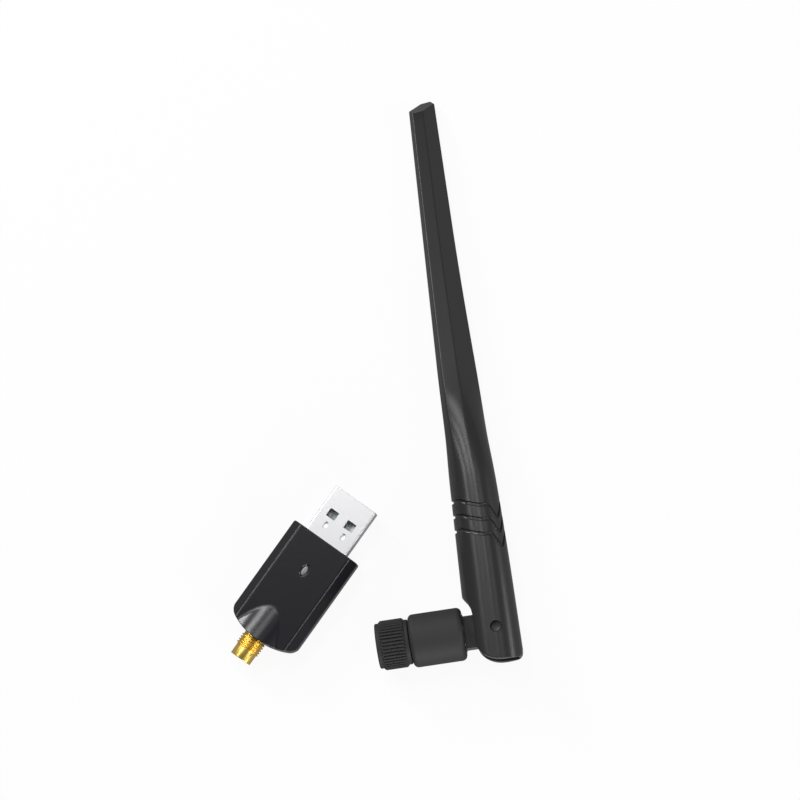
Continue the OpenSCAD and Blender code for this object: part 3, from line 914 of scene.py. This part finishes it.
    def window(self, name: str, grow: float, low: float, high: float, crown: float = 0.0,
               rings: int = 1) -> bpy.types.Object:
        """An oval bar in the lamp's window, with a crowned top."""
        angles = np.arange(64) * FULL_TURN / 64
        a, b = self.lamp_w / 2 + grow, self.lamp_l / 2 + grow
        ease = 0.06
        shapes = [(1.0, low), (1.0, high - ease), (1 - ease / a, high)]
        shapes += [(1 - k / (rings + 1), high + crown * (1 - (1 - k / (rings + 1)) ** 2))
                   for k in range(1, rings + 1)]
        rows = [np.stack([a * s * np.cos(angles), self.lamp_y + b * s * np.sin(angles),
                          np.full(64, z)], 1) for s, z in shapes]
        return self.form.loft(name, rows)

    def build(self, plug: "Plug", jack: "Jack") -> None:
        """Makes and dresses the shells and the lamp window."""
        gap = 0.06
        for name, upper in (("housing_top", True), ("housing_base", False)):
            shell = self.shell(name, upper)
            cut(shell, plug.opening(gap), jack.opening(gap))
            if upper:
                cut(shell, self.window("window_tool", 0.02, self.height - 3, self.height + 1))
            node = "upper_shell" if upper else "lower_shell"
            hand_in(shell, name, GLOSS_BLACK, Body.ADAPTER, node, angle=28)
        top = self.height - self.lamp_sink
        lens = self.window("lamp_window", -0.05, self.seam + 0.6, top, crown=0.12, rings=6)
        hand_in(lens, "lamp_window", LENS, Body.ADAPTER, "light_pipe")


@dataclass
class Plug:
    """The sheet-metal plug with its latch windows and dimples."""

    form: Form
    width: float = 12.0
    thick: float = 4.5
    low: float = 1.75
    back: float = 9.6
    mouth: float = 27.3
    sheet: float = 0.3
    corner_r: float = 0.42
    lip_r: float = 0.1
    window_w: float = 2.5
    window_l: float = 2.2
    window_back: float = 5.2
    window_pitch: float = 5.2
    dimple_back: float = 3.1
    dimple_l: float = 1.8
    dimple_w: float = 1.15
    dimple_depth: float = 0.16

    def outline(self, inset: float) -> np.ndarray:
        """The plug's section at a depth below its outer face."""
        x, z = self.width / 2 - inset, self.thick / 2 - inset
        r = max(self.corner_r - inset, 0.12)
        return rounded([(-x, -z, r), (x, -z, r), (x, z, r), (-x, z, r)], 5)

    def ring(self, inset: float, y: float) -> np.ndarray:
        """The section as a ring of points at a place along the plug."""
        flat = self.outline(inset)
        return np.stack([flat[:, 0], np.full(len(flat), y),
                         self.low + self.thick / 2 + flat[:, 1]], 1)

    def opening(self, gap: float) -> bpy.types.Object:
        """The tool that opens the housing for the plug."""
        rows = [self.ring(-gap, self.back), self.ring(-gap, self.mouth)]
        return self.form.loft("plug_tool", rows)

    def build(self) -> None:
        """Makes and dresses the plug."""
        lip = self.lip_r
        rows = [self.ring(0, self.back), self.ring(0, self.mouth - lip),
                self.ring(lip * 0.3, self.mouth - lip * 0.3), self.ring(lip, self.mouth),
                self.ring(self.sheet - lip, self.mouth),
                self.ring(self.sheet - lip * 0.3, self.mouth - lip * 0.3),
                self.ring(self.sheet, self.mouth - lip), self.ring(self.sheet, self.back)]
        shell = self.form.loft("plug", rows, closed=True)
        half_w, half_l, r = self.window_w / 2, self.window_l / 2, 0.18
        for side in (-1, 1):
            x = side * self.window_pitch / 2
            y = self.mouth - self.window_back - half_l
            hole = rounded([(x - half_w, y - half_l, r), (x + half_w, y - half_l, r),
                            (x + half_w, y + half_l, r), (x - half_w, y + half_l, r)], 4)
            cut(shell, self.form.prism("window_tool", hole, self.low - 1, self.low + self.thick + 1))
            cut(shell, self.dimple(x, y - self.dimple_back))
        ease_edges(shell, 0.05)
        hand_in(shell, "plug_sleeve", STEEL, Body.ADAPTER, "plug_shell", angle=40)

    def dimple(self, x: float, y: float) -> bpy.types.Object:
        """The tool that presses one oval dimple into the top face."""
        angles = np.arange(40) * FULL_TURN / 40
        top = self.low + self.thick
        rows = []
        for share, z in ((1.08, 0.1), (1.0, 0.0), (0.86, -0.6), (0.6, -0.95), (0.25, -1.0)):
            rows.append(np.stack([x + self.dimple_w / 2 * share * np.cos(angles),
                                  y + self.dimple_l / 2 * share * np.sin(angles),
                                  np.full(40, top + z * self.dimple_depth)], 1))
        return self.form.loft("dimple_tool", rows)


@dataclass
class Jack:
    """The gold threaded jack."""

    adapter: Axes
    x: float = -0.7
    z: float = 4.29
    housing_end: float = 14.6
    thread_r: float = 3.175
    thread_l: float = 3.5
    pitch: float = 0.7056
    thread_depth: float = 0.4
    nose_r: float = 2.78
    nose_l: float = 2.6
    bore_r: float = 2.1
    back: float = -12.5
    block_l: float = 1.6
    block_w: float = 6.0
    block_h: float = 4.98
    neck_under: float = 0.1

    def __post_init__(self) -> None:
        """Sets the jack's own axes: X along it, away from the plug."""
        a = self.adapter
        self.axes = Axes(a.point(self.x, 0, self.z), -a.y, a.x, a.z)
        self.form = Form(self.axes)

    def bar(self, name: str, r: float, near: float, far: float, ease: float = 0.0) -> bpy.types.Object:
        """A round bar along the jack, with eased edges."""
        corners = [(near, 0, 0), (near, r, ease), (far, r, ease), (far, 0, 0)]
        return self.form.lathe(name, rounded(corners, 4), 96)

    def opening(self, gap: float) -> bpy.types.Object:
        """The tool that opens the housing for the jack."""
        return self.bar("jack_tool", self.thread_r - self.neck_under + gap, -self.back, self.housing_end + 1)

    def build(self) -> None:
        """Makes and dresses the jack."""
        end = self.housing_end
        neck_r = self.thread_r - self.neck_under
        thread = RippledBar(Ripple.THREAD, self.thread_r, self.thread_depth, end - 0.01,
                            self.thread_l, 1.0, self.thread_l / self.pitch, 0.35, 0.12)
        jack = thread.build(self.form, 96, 120, GOLD.material())
        tip = end + self.thread_l + self.nose_l
        block = rounded([(-self.back - self.block_l, -self.block_w / 2, 0.2),
                         (-self.back, -self.block_w / 2, 0.2), (-self.back, self.block_w / 2, 0.2),
                         (-self.back - self.block_l, self.block_w / 2, 0.2)], 3)
        join(jack, self.bar("neck", neck_r - 0.2, -self.back - 0.2, end + 0.2),
             self.bar("nose", self.nose_r, end + 0.5, tip, 0.18),
             self.form.prism("block", block, -self.block_h / 2, self.block_h / 2))
        cut(jack, self.bar("bore", self.bore_r, -self.back - self.block_l - 1, tip + 1))
        hand_in(jack, "jack", GOLD, Body.ADAPTER, "jack_body", angle=40)


# ---------- antenna ----------
@dataclass
class Base:
    """The nut, sleeve, knuckle and lead at the foot of the antenna; distances run from the hinge."""

    form: Form
    sleeve_r: float = 6.5
    sleeve_far: float = 21.3
    sleeve_near: float = 8.2
    sleeve_round: float = 1.2
    bore_r: float = 5.3
    cover_r: float = 6.05
    cover_near: float = 21.42
    cover_far: float = 29.5
    collar: float = 1.0
    collar_drop: float = 0.55
    ribs: int = 44
    rib_depth: float = 0.38
    nut_corner_r: float = 4.62
    nut_near: float = 22.3
    nut_far: float = 29.1
    mouth_r: float = 3.52
    neck_hole_r: float = 3.1
    tongue_half: float = 4.0
    tongue_t: float = 5.6
    collar_r: float = 4.6
    ledge: float = 1.3
    pin_r: float = 1.4
    pin_half: float = 5.6
    lead_r: float = 0.9
    lead_x: float = 2.6
    lead_bend: float = 4.3
    lead_start: float = 17.1
    lead_top: float = 38.0
    lead_gap: float = 0.3
    ledge_depth: float = 0.8
    well_r: float = 4.1
    well_near: float = 15.0
    hinge_reach: float = 9.0

    def ring(self, name: str, corners: Sequence[tuple[float, float, float]]) -> bpy.types.Object:
        """A turned ring from (distance from the hinge, radius, rounding) corners."""
        return self.form.lathe(name, rounded([(-far, r, ease) for far, r, ease in corners], 6), 160)

    def nut(self) -> None:
        """The ribbed cover over the coupling nut."""
        body_r = self.cover_r - self.collar_drop
        near, far = self.cover_near, self.cover_far
        cover = self.ring("nut_grip", [(far, 0, 0), (far, body_r, 0.3), (near, body_r, 0.3),
                                       (near, 0, 0)])
        ribs = RippledBar(Ripple.RIBS, self.cover_r, self.rib_depth, -far + self.collar,
                          far - near - 2 * self.collar, float(self.ribs), 0.0, 0.3, 0.3)
        join(cover, ribs.build(self.form, self.ribs * 10, 16, KNURLED_BLACK.material()))
        cavity = self.ring("cavity", [(self.nut_far, 0, 0), (self.nut_far, self.nut_corner_r, 0),
                                      (self.nut_near, self.nut_corner_r, 0), (self.nut_near, 0, 0)])
        mouth = self.ring("mouth", [(far + 1, 0, 0), (far + 1, self.mouth_r, 0),
                                    (self.nut_far - 1, self.mouth_r, 0), (self.nut_far - 1, 0, 0)])
        neck = self.ring("neck", [(self.nut_near + 1, 0, 0), (self.nut_near + 1, self.neck_hole_r, 0),
                                  (near - 1, self.neck_hole_r, 0), (near - 1, 0, 0)])
        cut(cover, cavity, mouth, neck)
        hand_in(cover, "nut_grip", KNURLED_BLACK, Body.NUT, "nut_cover", angle=35)

    def sleeve(self) -> None:
        """The textured sleeve."""
        far, near, ease = self.sleeve_far, self.sleeve_near, self.sleeve_round
        sleeve = self.ring("sleeve", [(far, self.bore_r, 0.1), (far, self.sleeve_r, ease),
                                      (near, self.sleeve_r, ease), (near, self.bore_r, 0.1)])
        hand_in(sleeve, "textured_sleeve", TEXTURED_BLACK, Body.SWIVEL, "swivel_sleeve")

    def lead_route(self, far: float, top: float) -> np.ndarray:
        """The lead's route: along the base, round a bend, up the mast."""
        straight = spaced([(-far, 1.0), (-self.lead_x - self.lead_bend, 1.0)])
        angles = np.linspace(-HALF_TURN / 2, 0, 13)[1:]
        route = [(x, 0) for x in straight]
        route += [(-self.lead_x - self.lead_bend + self.lead_bend * math.cos(a),
                   self.lead_bend + self.lead_bend * math.sin(a)) for a in angles]
        route += [(-self.lead_x, y) for y in spaced([(self.lead_bend + 1, 1.0), (top, 1.0)])]
        return np.array([(x, y, 0) for x, y in route])

    def knuckle(self) -> None:
        """The tongue with its ledges and the plug that carries it in the sleeve."""
        half, near = self.tongue_half, self.sleeve_near
        angles = np.linspace(-HALF_TURN / 2, HALF_TURN / 2, 40)
        outline = np.array([(-near - 0.5, half), (-near - 0.5, -half)]
                           + [(half * math.cos(a), half * math.sin(a)) for a in angles])
        tongue = self.form.prism("knuckle", outline, -self.tongue_t / 2, self.tongue_t / 2)
        for side in (-1, 1):
            z = side * self.tongue_t / 2
            step = np.array([(-near + 0.1, half - self.ledge), (half - near + 1, half - self.ledge),
                             (half - near + 1, half + 1), (-near + 0.1, half + 1)])
            cut(tongue, self.form.prism("ledge_tool", step, z - self.ledge_depth,
                                           z + self.ledge_depth))
        far = self.sleeve_far - 0.1
        join(tongue, self.ring("root", [(far, 0, 0), (far, self.bore_r - 0.02, 0.2),
                                        (near, self.bore_r - 0.02, 0.15), (near, 0, 0)]),
             self.ring("collar", [(near + 1, 0, 0), (near + 1, self.collar_r, 0),
                                  (near - 0.22, self.collar_r, 0.1), (near - 0.22, 0, 0)]))
        hole = self.pin_hole(self.pin_r + 0.05)
        well = self.ring("well", [(far + 1, 0, 0), (far + 1, self.well_r, 0),
                                  (self.well_near, self.well_r, 0), (self.well_near, 0, 0)])
        lead = self.form.tube("lead_tool", self.lead_route(self.lead_start, 10),
                              self.lead_r + self.lead_gap)
        cut(tongue, hole, well, lead)
        ease_edges(tongue, 0.12)
        hand_in(tongue, "knuckle", MAST_BLACK, Body.SWIVEL, "hinge_knuckle", angle=36)

    def pin_hole(self, r: float) -> bpy.types.Object:
        """The tool that bores the hinge."""
        angles = np.arange(64) * FULL_TURN / 64
        circle = np.stack([r * np.cos(angles), r * np.sin(angles)], 1)
        return self.form.prism("pin_tool", circle, -self.hinge_reach, self.hinge_reach)

    def pin(self) -> None:
        """The hinge pin, with eased and slightly hollow ends."""
        angles = np.arange(64) * FULL_TURN / 64
        r, half, ease = self.pin_r - 0.01, self.pin_half, 0.25
        shapes = [(0.15, half - 0.12), (0.6, half - 0.08), (0.75, half), (1 - ease / r, half),
                  (1 - ease * 0.3 / r, half - ease * 0.3), (1.0, half - ease)]
        shapes = [(s, -z) for s, z in shapes] + shapes[::-1]
        rows = [np.stack([r * s * np.cos(angles), r * s * np.sin(angles), np.full(64, z)], 1)
                for s, z in shapes]
        hand_in(self.form.loft("pin", rows), "fold_pin", PIN_BLACK, Body.MAST, "hinge_pin")

    def lead(self) -> None:
        """The coaxial lead, along the base, round a bend and up the mast."""
        tube = self.form.tube("lead", self.lead_route(self.lead_start, self.lead_top), self.lead_r)
        tube.name = "antenna_lead"
        tube.data.materials.append(LEAD_JACKET.material())
        shade(tube)
        axes = self.form.axes
        axes.point(-self.lead_x - self.lead_bend, 0, 0)
        axes.point(-self.lead_x, self.lead_bend, 0)
        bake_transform(tube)
        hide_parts("coax_lead")
        log.info("antenna_lead: %d faces", len(tube.data.polygons))

    def build(self) -> None:
        """Makes and dresses the pieces of the base."""
        self.nut()
        self.sleeve()
        self.knuckle()
        self.pin()
        self.lead()


@dataclass
class Mast:
    """The mast: a faceted blade that turns round towards a foot with two ears."""

    form: Form
    length: float = 130.3
    left_foot: float = 7.75
    right_foot: float = 5.4
    tip_half_w: float = 3.2
    foot_half_t: float = 6.5
    tip_half_t: float = 3.6
    slant: float = 0.5
    round_below: float = 36.0
    faceted_above: float = 66.0
    wall: float = 1.1
    groove_pitch: float = 3.6
    groove_half: float = 0.5
    groove_depth: float = 0.45
    ear_drop: float = 7.85
    corner_r: float = 1.6
    ear_edge: float = 0.45
    slot_half: float = 3.0
    pin_hole_r: float = 1.41
    sweep_r: float = 4.3
    spigot_r: float = 4.4
    spigot_top: float = 28.2
    spigot_x: float = -1.1
    facets: tuple[Pair, ...] = ((-1, 0.46), (-0.73, 1), (0.1, 0.75), (1, -0.46), (0.73, -1),
                                (-0.1, -0.75))
    steps: tuple[int, ...] = (18, 26, 56, 18, 26, 56)
    facet_blur: int = 2
    heel_x: float = 1.0
    ear_left: tuple[Pair, ...] = ((-3.4, -5.4), (2.2, -5.2), (5.1, -5.5), (6.9, -6.2),
                                  (10.4, -9.0))
    groove_route: tuple[Pair, ...] = ((-90, 32.0), (-75, 32.0), (-38, 31.7), (-15, 30.7),
                                      (10, 29.9), (26, 29.9), (33, 29.4), (51, 26.6), (60, 27.0),
                                      (75, 29.2), (90, 31.6))

    def __post_init__(self) -> None:
        """Works out the unit section, faceted and round, and the direction of each point."""
        flat, circle = [], []
        for e, count in enumerate(self.steps):
            p, q = np.array(self.facets[e]), np.array(self.facets[(e + 1) % 6])
            start = math.atan2(p[1], p[0])
            turn = (start - math.atan2(q[1], q[0])) % FULL_TURN
            for j in range(count):
                t = j / count
                flat.append(p + (q - p) * t)
                circle.append((math.cos(start - turn * t), math.sin(start - turn * t)))
        spread = range(-self.facet_blur, self.facet_blur + 1)
        self.flat = sum(np.roll(np.array(flat), k, 0) for k in spread) / len(spread)
        self.circle = np.array(circle)
        facing = np.degrees(np.arctan2(self.circle[:, 0], np.abs(self.circle[:, 1])))
        angles, heights = zip(*self.groove_route)
        route = np.interp(facing, angles, heights)
        self.route = sum(np.roll(route, k) for k in (-2, -1, 0, 1, 2)) / 5
        slope = (np.roll(self.route, -1) - np.roll(self.route, 1)) / 2
        span = np.linalg.norm(np.roll(self.circle, -1, 0) - self.circle, axis=1) * self.foot_half_t
        self.reach = self.groove_half * np.sqrt(1 + np.minimum((slope / span) ** 2, 3.0))

    def left(self, y: np.ndarray) -> np.ndarray:
        """Left side, from the hinge axis."""
        return self.left_foot + (self.tip_half_w - self.left_foot) * y / self.length

    def right(self, y: np.ndarray) -> np.ndarray:
        """Right side, from the hinge axis."""
        share = 0.2 * (1 - y / self.length) + 0.8 * (1 - smooth((y - 10) / 90))
        return self.tip_half_w + (self.right_foot - self.tip_half_w) * share

    def depth(self, y: np.ndarray) -> np.ndarray:
        """Half thickness."""
        return self.foot_half_t + (self.tip_half_t - self.foot_half_t) * y / self.length

    def groove(self, y: np.ndarray) -> np.ndarray:
        """Depth of the three grooves at each point of a ring."""
        sunk = np.zeros_like(y)
        for k in range(3):
            far = np.abs(y - self.route + k * self.groove_pitch) / self.reach
            sunk = np.maximum(sunk, 1 - smooth((far - 0.62) / 0.38))
        return sunk * self.groove_depth

    def ring(self, y: np.ndarray, inset: Union[float, np.ndarray] = 0.0, slant: float = 0.0,
             grooves: bool = True) -> np.ndarray:
        """A ring of the mast's skin.

        Args:
            y: height of each point of the ring.
            inset: depth below the skin.
            slant: how far the ring leans.
            grooves: whether the grooves are cut.

        Returns:
            The points.
        """
        k = 1 - smooth((y - self.round_below) / (self.faceted_above - self.round_below))
        unit = self.flat * (1 - k)[:, None] + self.circle * k[:, None]
        at = y - slant * unit[:, 1] * self.depth(y)
        sink = inset + (self.groove(y) if grooves else 0)
        half = (self.left(at) + self.right(at)) / 2 - sink
        middle = (self.right(at) - self.left(at)) / 2
        return np.stack([middle + half * unit[:, 0], at, (self.depth(at) - sink) * unit[:, 1]], 1)

    def level(self, y: float) -> np.ndarray:
        """The same height all round a ring."""
        return np.full(len(self.circle), float(y))

    def blade(self) -> None:
        """The blade: hollow, from the lowest groove to the slanted tip."""
        seam = self.route - 2 * self.groove_pitch
        tip, ease = self.length, 0.28
        outer = [self.ring(seam)]
        low = seam
        for k in (2, 1, 0):
            centre = self.route - k * self.groove_pitch
            for t in (-1.15, -1.0, -0.85, -0.7, -0.5, 0.0, 0.5, 0.7, 0.85, 1.0, 1.15):
                if k == 2 and t <= 0:
                    continue
                outer.append(self.ring(centre + t * self.reach))
            low = centre + 1.15 * self.reach
        straight = self.round_below + 2
        outer += [self.ring(low + (straight - low) * t) for t in (0.25, 0.5, 0.75, 1.0)]
        outer += [self.ring(self.level(y)) for y in spaced([(straight + 1.5, 1.5), (70, 4), (120, 4)])]
        for t in (0.25, 0.5, 0.75, 1.0):
            outer.append(self.ring(self.level(120 + (tip - ease - 120) * t), slant=self.slant * t))
        for angle in (30, 60, 90):
            a = math.radians(angle)
            outer.append(self.ring(self.level(tip - ease + ease * math.sin(a)),
                                   ease * (1 - math.cos(a)), self.slant))
        last = outer[-1]
        centre = last.mean(0)
        outer += [centre + (last - centre) * s for s in (0.75, 0.45, 0.12)]
        inner = [self.ring(self.level(y), self.wall, grooves=False)
                 for y in spaced([(self.spigot_top + 2, 6), (tip - 8, 6)])]
        inner = [self.ring(seam, self.wall, grooves=False)] + inner
        close = inner[-1].mean(0)
        rows = [close + (inner[-1] - close) * s for s in (0.1, 0.5)] + inner[::-1] + outer
        hand_in(self.form.loft("blade", rows), "mast_upper", MAST_BLACK, Body.MAST, "mast_blade",
                angle=25)

    def ear_limits(self, y: np.ndarray) -> tuple[np.ndarray, np.ndarray]:
        """Left and right limits of the ears' outline at each height."""
        heights, places = zip(*self.ear_left)
        left = np.interp(y, heights, places, right=-99.0)
        up = y + self.ear_drop
        heel_w, heel_h = self.heel_x - places[0], heights[0] + self.ear_drop
        round_x = self.heel_x - heel_w * np.sqrt(np.clip(1 - (1 - up / heel_h) ** 2, 0, None))
        left = np.where(y < heights[0], round_x, left)
        right = self.right_foot + 0.1 - fillet_drop(up, self.corner_r)
        return left, np.where(up < self.corner_r, right, 99.0)

    def foot_ring(self, y: np.ndarray) -> np.ndarray:
        """A ring of the foot, held within the ears' outline."""
        points = self.ring(y)
        left, right = self.ear_limits(y)
        x = soft_max(points[:, 0], left, self.ear_edge)
        x = soft_min(x, right, self.ear_edge)
        z = points[:, 2]
        top = self.depth(y) - fillet_drop(y + self.ear_drop, self.ear_edge)
        z = np.sign(z) * soft_min(np.abs(z), top, 0.1)
        return np.stack([x, points[:, 1], z], 1)

    def foot(self, base: Base) -> None:
        """The foot: ears astride the tongue, up to the lowest groove, with its spigot."""
        seam = self.route - 2 * self.groove_pitch
        heights = spaced([(-self.ear_drop, 0.07), (-self.ear_drop + 1.6, 0.25), (-3, 0.45), (12, 0.45)])
        rows = [self.foot_ring(self.level(y)) for y in heights]
        edge = seam - 1.15 * self.reach
        rows += [self.foot_ring(12 + (edge - 12) * t) for t in np.linspace(0, 1, 14)[1:]]
        rows += [self.foot_ring(seam + t * self.reach) for t in (-1, -0.85, -0.7, -0.5, 0)]
        around = self.circle * self.spigot_r
        x = self.spigot_x + around[:, 0]
        rows.append(np.stack([x, seam, around[:, 1]], 1))
        rows.append(np.stack([x, self.level(self.spigot_top), around[:, 1]], 1))
        first = rows[0].mean(0)
        rows = [first + (rows[0] - first) * s for s in (0.15, 0.6)] + rows
        foot = self.form.loft("foot", rows)
        cut(foot, self.slot(), base.pin_hole(self.pin_hole_r), self.channel(base))
        hand_in(foot, "mast_foot_ears", MAST_BLACK, Body.MAST, "mast_foot", angle=34)

    def slot(self) -> bpy.types.Object:
        """The tool that opens the foot for the tongue."""
        far, r = self.foot_half_t + 6, self.sweep_r
        angles = np.linspace(0, HALF_TURN / 2, 24)
        arc = [(r * math.cos(a), r * math.sin(a)) for a in angles]
        outline = np.array([(-far, -far), (r, -far)] + arc + [(-far, r)])
        return self.form.prism("slot_tool", outline, -self.slot_half, self.slot_half)

    def channel(self, base: Base) -> bpy.types.Object:
        """The tool that bores the lead's way up the foot."""
        route = np.array([(-base.lead_x, y, 0) for y in (0.0, 10.0, 20.0, self.spigot_top + 2)])
        return self.form.tube("channel_tool", route, base.lead_r + base.lead_gap)


# ---------- studio ----------
@dataclass
class Studio:
    """Pale floor, soft lights and the camera, from above with a long lens.

    Lengths are in millimetres, but for the floor's own, which are in metres.
    """

    centre: Pair = (26.49, 46.68)
    aim_height: float = 5.0
    view: tuple[float, float, float] = (0.07, -0.12, 1.0)
    field: float = 195.6
    distance: float = 1400.0
    sensor: float = 36.0
    white_share: float = 0.93
    mirrored_floor: float = 0.25
    mirrored_world: float = 0.05
    floor_half: float = 4.0
    floor_drop: float = 0.0002
    floor_colour: Colour = (0.9, 0.9, 0.9)

    lamp_side: float = 160.0
    lamp_aim: tuple[float, float, float] = (26.0, 47.0, 5.0)
    lamps: tuple[tuple[str, tuple[float, float, float], float], ...] = (
        ("north_west_mid_low", (-419, 492, 312), 2.34),
        ("south_low", (26, -638, 151), 1.93),
        ("south_east_low", (368, -546, 151), 1.41),
        ("east_low", (711, 47, 151), 1.30),
        ("north_high", (-128, 418, 578), 1.13),
        ("south_east_middle", (460, -268, 455), 0.64),
        ("west_high", (-345, 201, 578), 0.59),
        ("north_west_top", (-94, 254, 663), 0.52),
        ("north_east_top", (146, 254, 663), 0.40),
        ("east_high", (397, 201, 578), 0.09))

    def camera(self) -> None:
        """The camera, upright along +Y."""
        data = bpy.data.cameras.new("camera")
        data.sensor_width = self.sensor
        data.lens = self.sensor * self.distance / self.field
        data.clip_end = 10
        thing = bpy.data.objects.new("camera", data)
        bpy.context.scene.collection.objects.link(thing)
        back = Vector(self.view).normalized()
        right = Vector((0, 1, 0)).cross(back).normalized()
        up = back.cross(right)
        aim = Vector((*self.centre, self.aim_height))
        turn = Matrix((right, up, back)).transposed().to_4x4()
        thing.matrix_world = Matrix.Translation((aim + back * self.distance) * MM) @ turn
        bpy.context.scene.camera = thing

    def softbox(self, name: str, place: tuple[float, float, float], power: float) -> None:
        """A square soft light that points at the middle of the scene.

        Args:
            name: its name.
            place: where it hangs, in millimetres.
            power: its power in watts.
        """
        data = bpy.data.lights.new(name, "AREA")
        data.shape = "SQUARE"
        data.size = self.lamp_side * MM
        data.energy = power
        thing = bpy.data.objects.new(name, data)
        bpy.context.scene.collection.objects.link(thing)
        back = (Vector(place) - Vector(self.lamp_aim)).normalized()
        right = Vector((0, 1, 0)).cross(back).normalized()
        turn = Matrix((right, back.cross(right), back)).transposed().to_4x4()
        thing.matrix_world = Matrix.Translation(Vector(place) * MM) @ turn

    @staticmethod
    def shown(sheet: Sheet, mirrored: float) -> Value:
        """How strongly the background shows: fully to the camera, and in part in reflections.

        Args:
            sheet: the tree.
            mirrored: its share in reflections and through clear pieces.

        Returns:
            The strength, which is 0 for every other ray.
        """
        path = sheet.add("ShaderNodeLightPath", {})
        camera, glossy, through = (path.beside(name) for name in (
            "Is Camera Ray", "Is Glossy Ray", "Is Transmission Ray"))
        return camera.apply("MAXIMUM", glossy.apply("MAXIMUM", through) * mirrored)

    def floor(self) -> None:
        """The floor, white to the camera, which keeps the object's shadow."""
        data = bpy.data.meshes.new("floor")
        size, low = self.floor_half, -self.floor_drop
        data.from_pydata([(-size, -size, low), (size, -size, low), (size, size, low),
                          (-size, size, low)], [], [(0, 1, 2, 3)])
        thing = bpy.data.objects.new("floor", data)
        bpy.context.scene.collection.objects.link(thing)
        paint = bpy.data.materials.new("floor")
        paint.use_nodes = True
        paint.node_tree.nodes.clear()
        sheet = Sheet(paint.node_tree)
        shown = self.shown(sheet, self.mirrored_floor)
        lit = sheet.add("ShaderNodeBsdfDiffuse", {"Color": rgba(self.floor_colour)})
        glow = sheet.add("ShaderNodeEmission", {"Color": rgba((1, 1, 1)), "Strength": shown})
        both = sheet.add("ShaderNodeMixShader", {0: self.white_share, 1: lit, 2: glow})
        sheet.add("ShaderNodeOutputMaterial", {"Surface": both})
        data.materials.append(paint)

    def surroundings(self) -> None:
        """The world, white past the floor's edge, with no light of its own."""
        world = bpy.data.worlds.new("world")
        bpy.context.scene.world = world
        world.use_nodes = True
        world.node_tree.nodes.clear()
        sheet = Sheet(world.node_tree)
        back = sheet.add("ShaderNodeBackground", {
            "Color": rgba((1, 1, 1)), "Strength": self.shown(sheet, self.mirrored_world)})
        sheet.add("ShaderNodeOutputWorld", {"Surface": back})
        bpy.context.scene.view_settings.view_transform = "Standard"

    def build(self) -> None:
        """Sets up the studio."""
        self.camera()
        self.floor()
        for name, place, power in self.lamps:
            self.softbox(name, place, power)
        self.surroundings()


def main() -> None:
    """Builds the studio, then each sub-assembly in order."""
    logging.basicConfig(level=logging.INFO, format="%(message)s")
    Studio().build()
    dress_frame()
    adapter, antenna = adapter_axes(), antenna_axes()
    plug, jack = Plug(Form(adapter)), Jack(adapter)
    Housing(Form(adapter)).build(plug, jack)
    plug.build()
    jack.build()
    base = Base(Form(antenna))
    base.build()
    mast = Mast(Form(antenna))
    mast.foot(base)
    mast.blade()


if __name__ == "__main__":
    main()
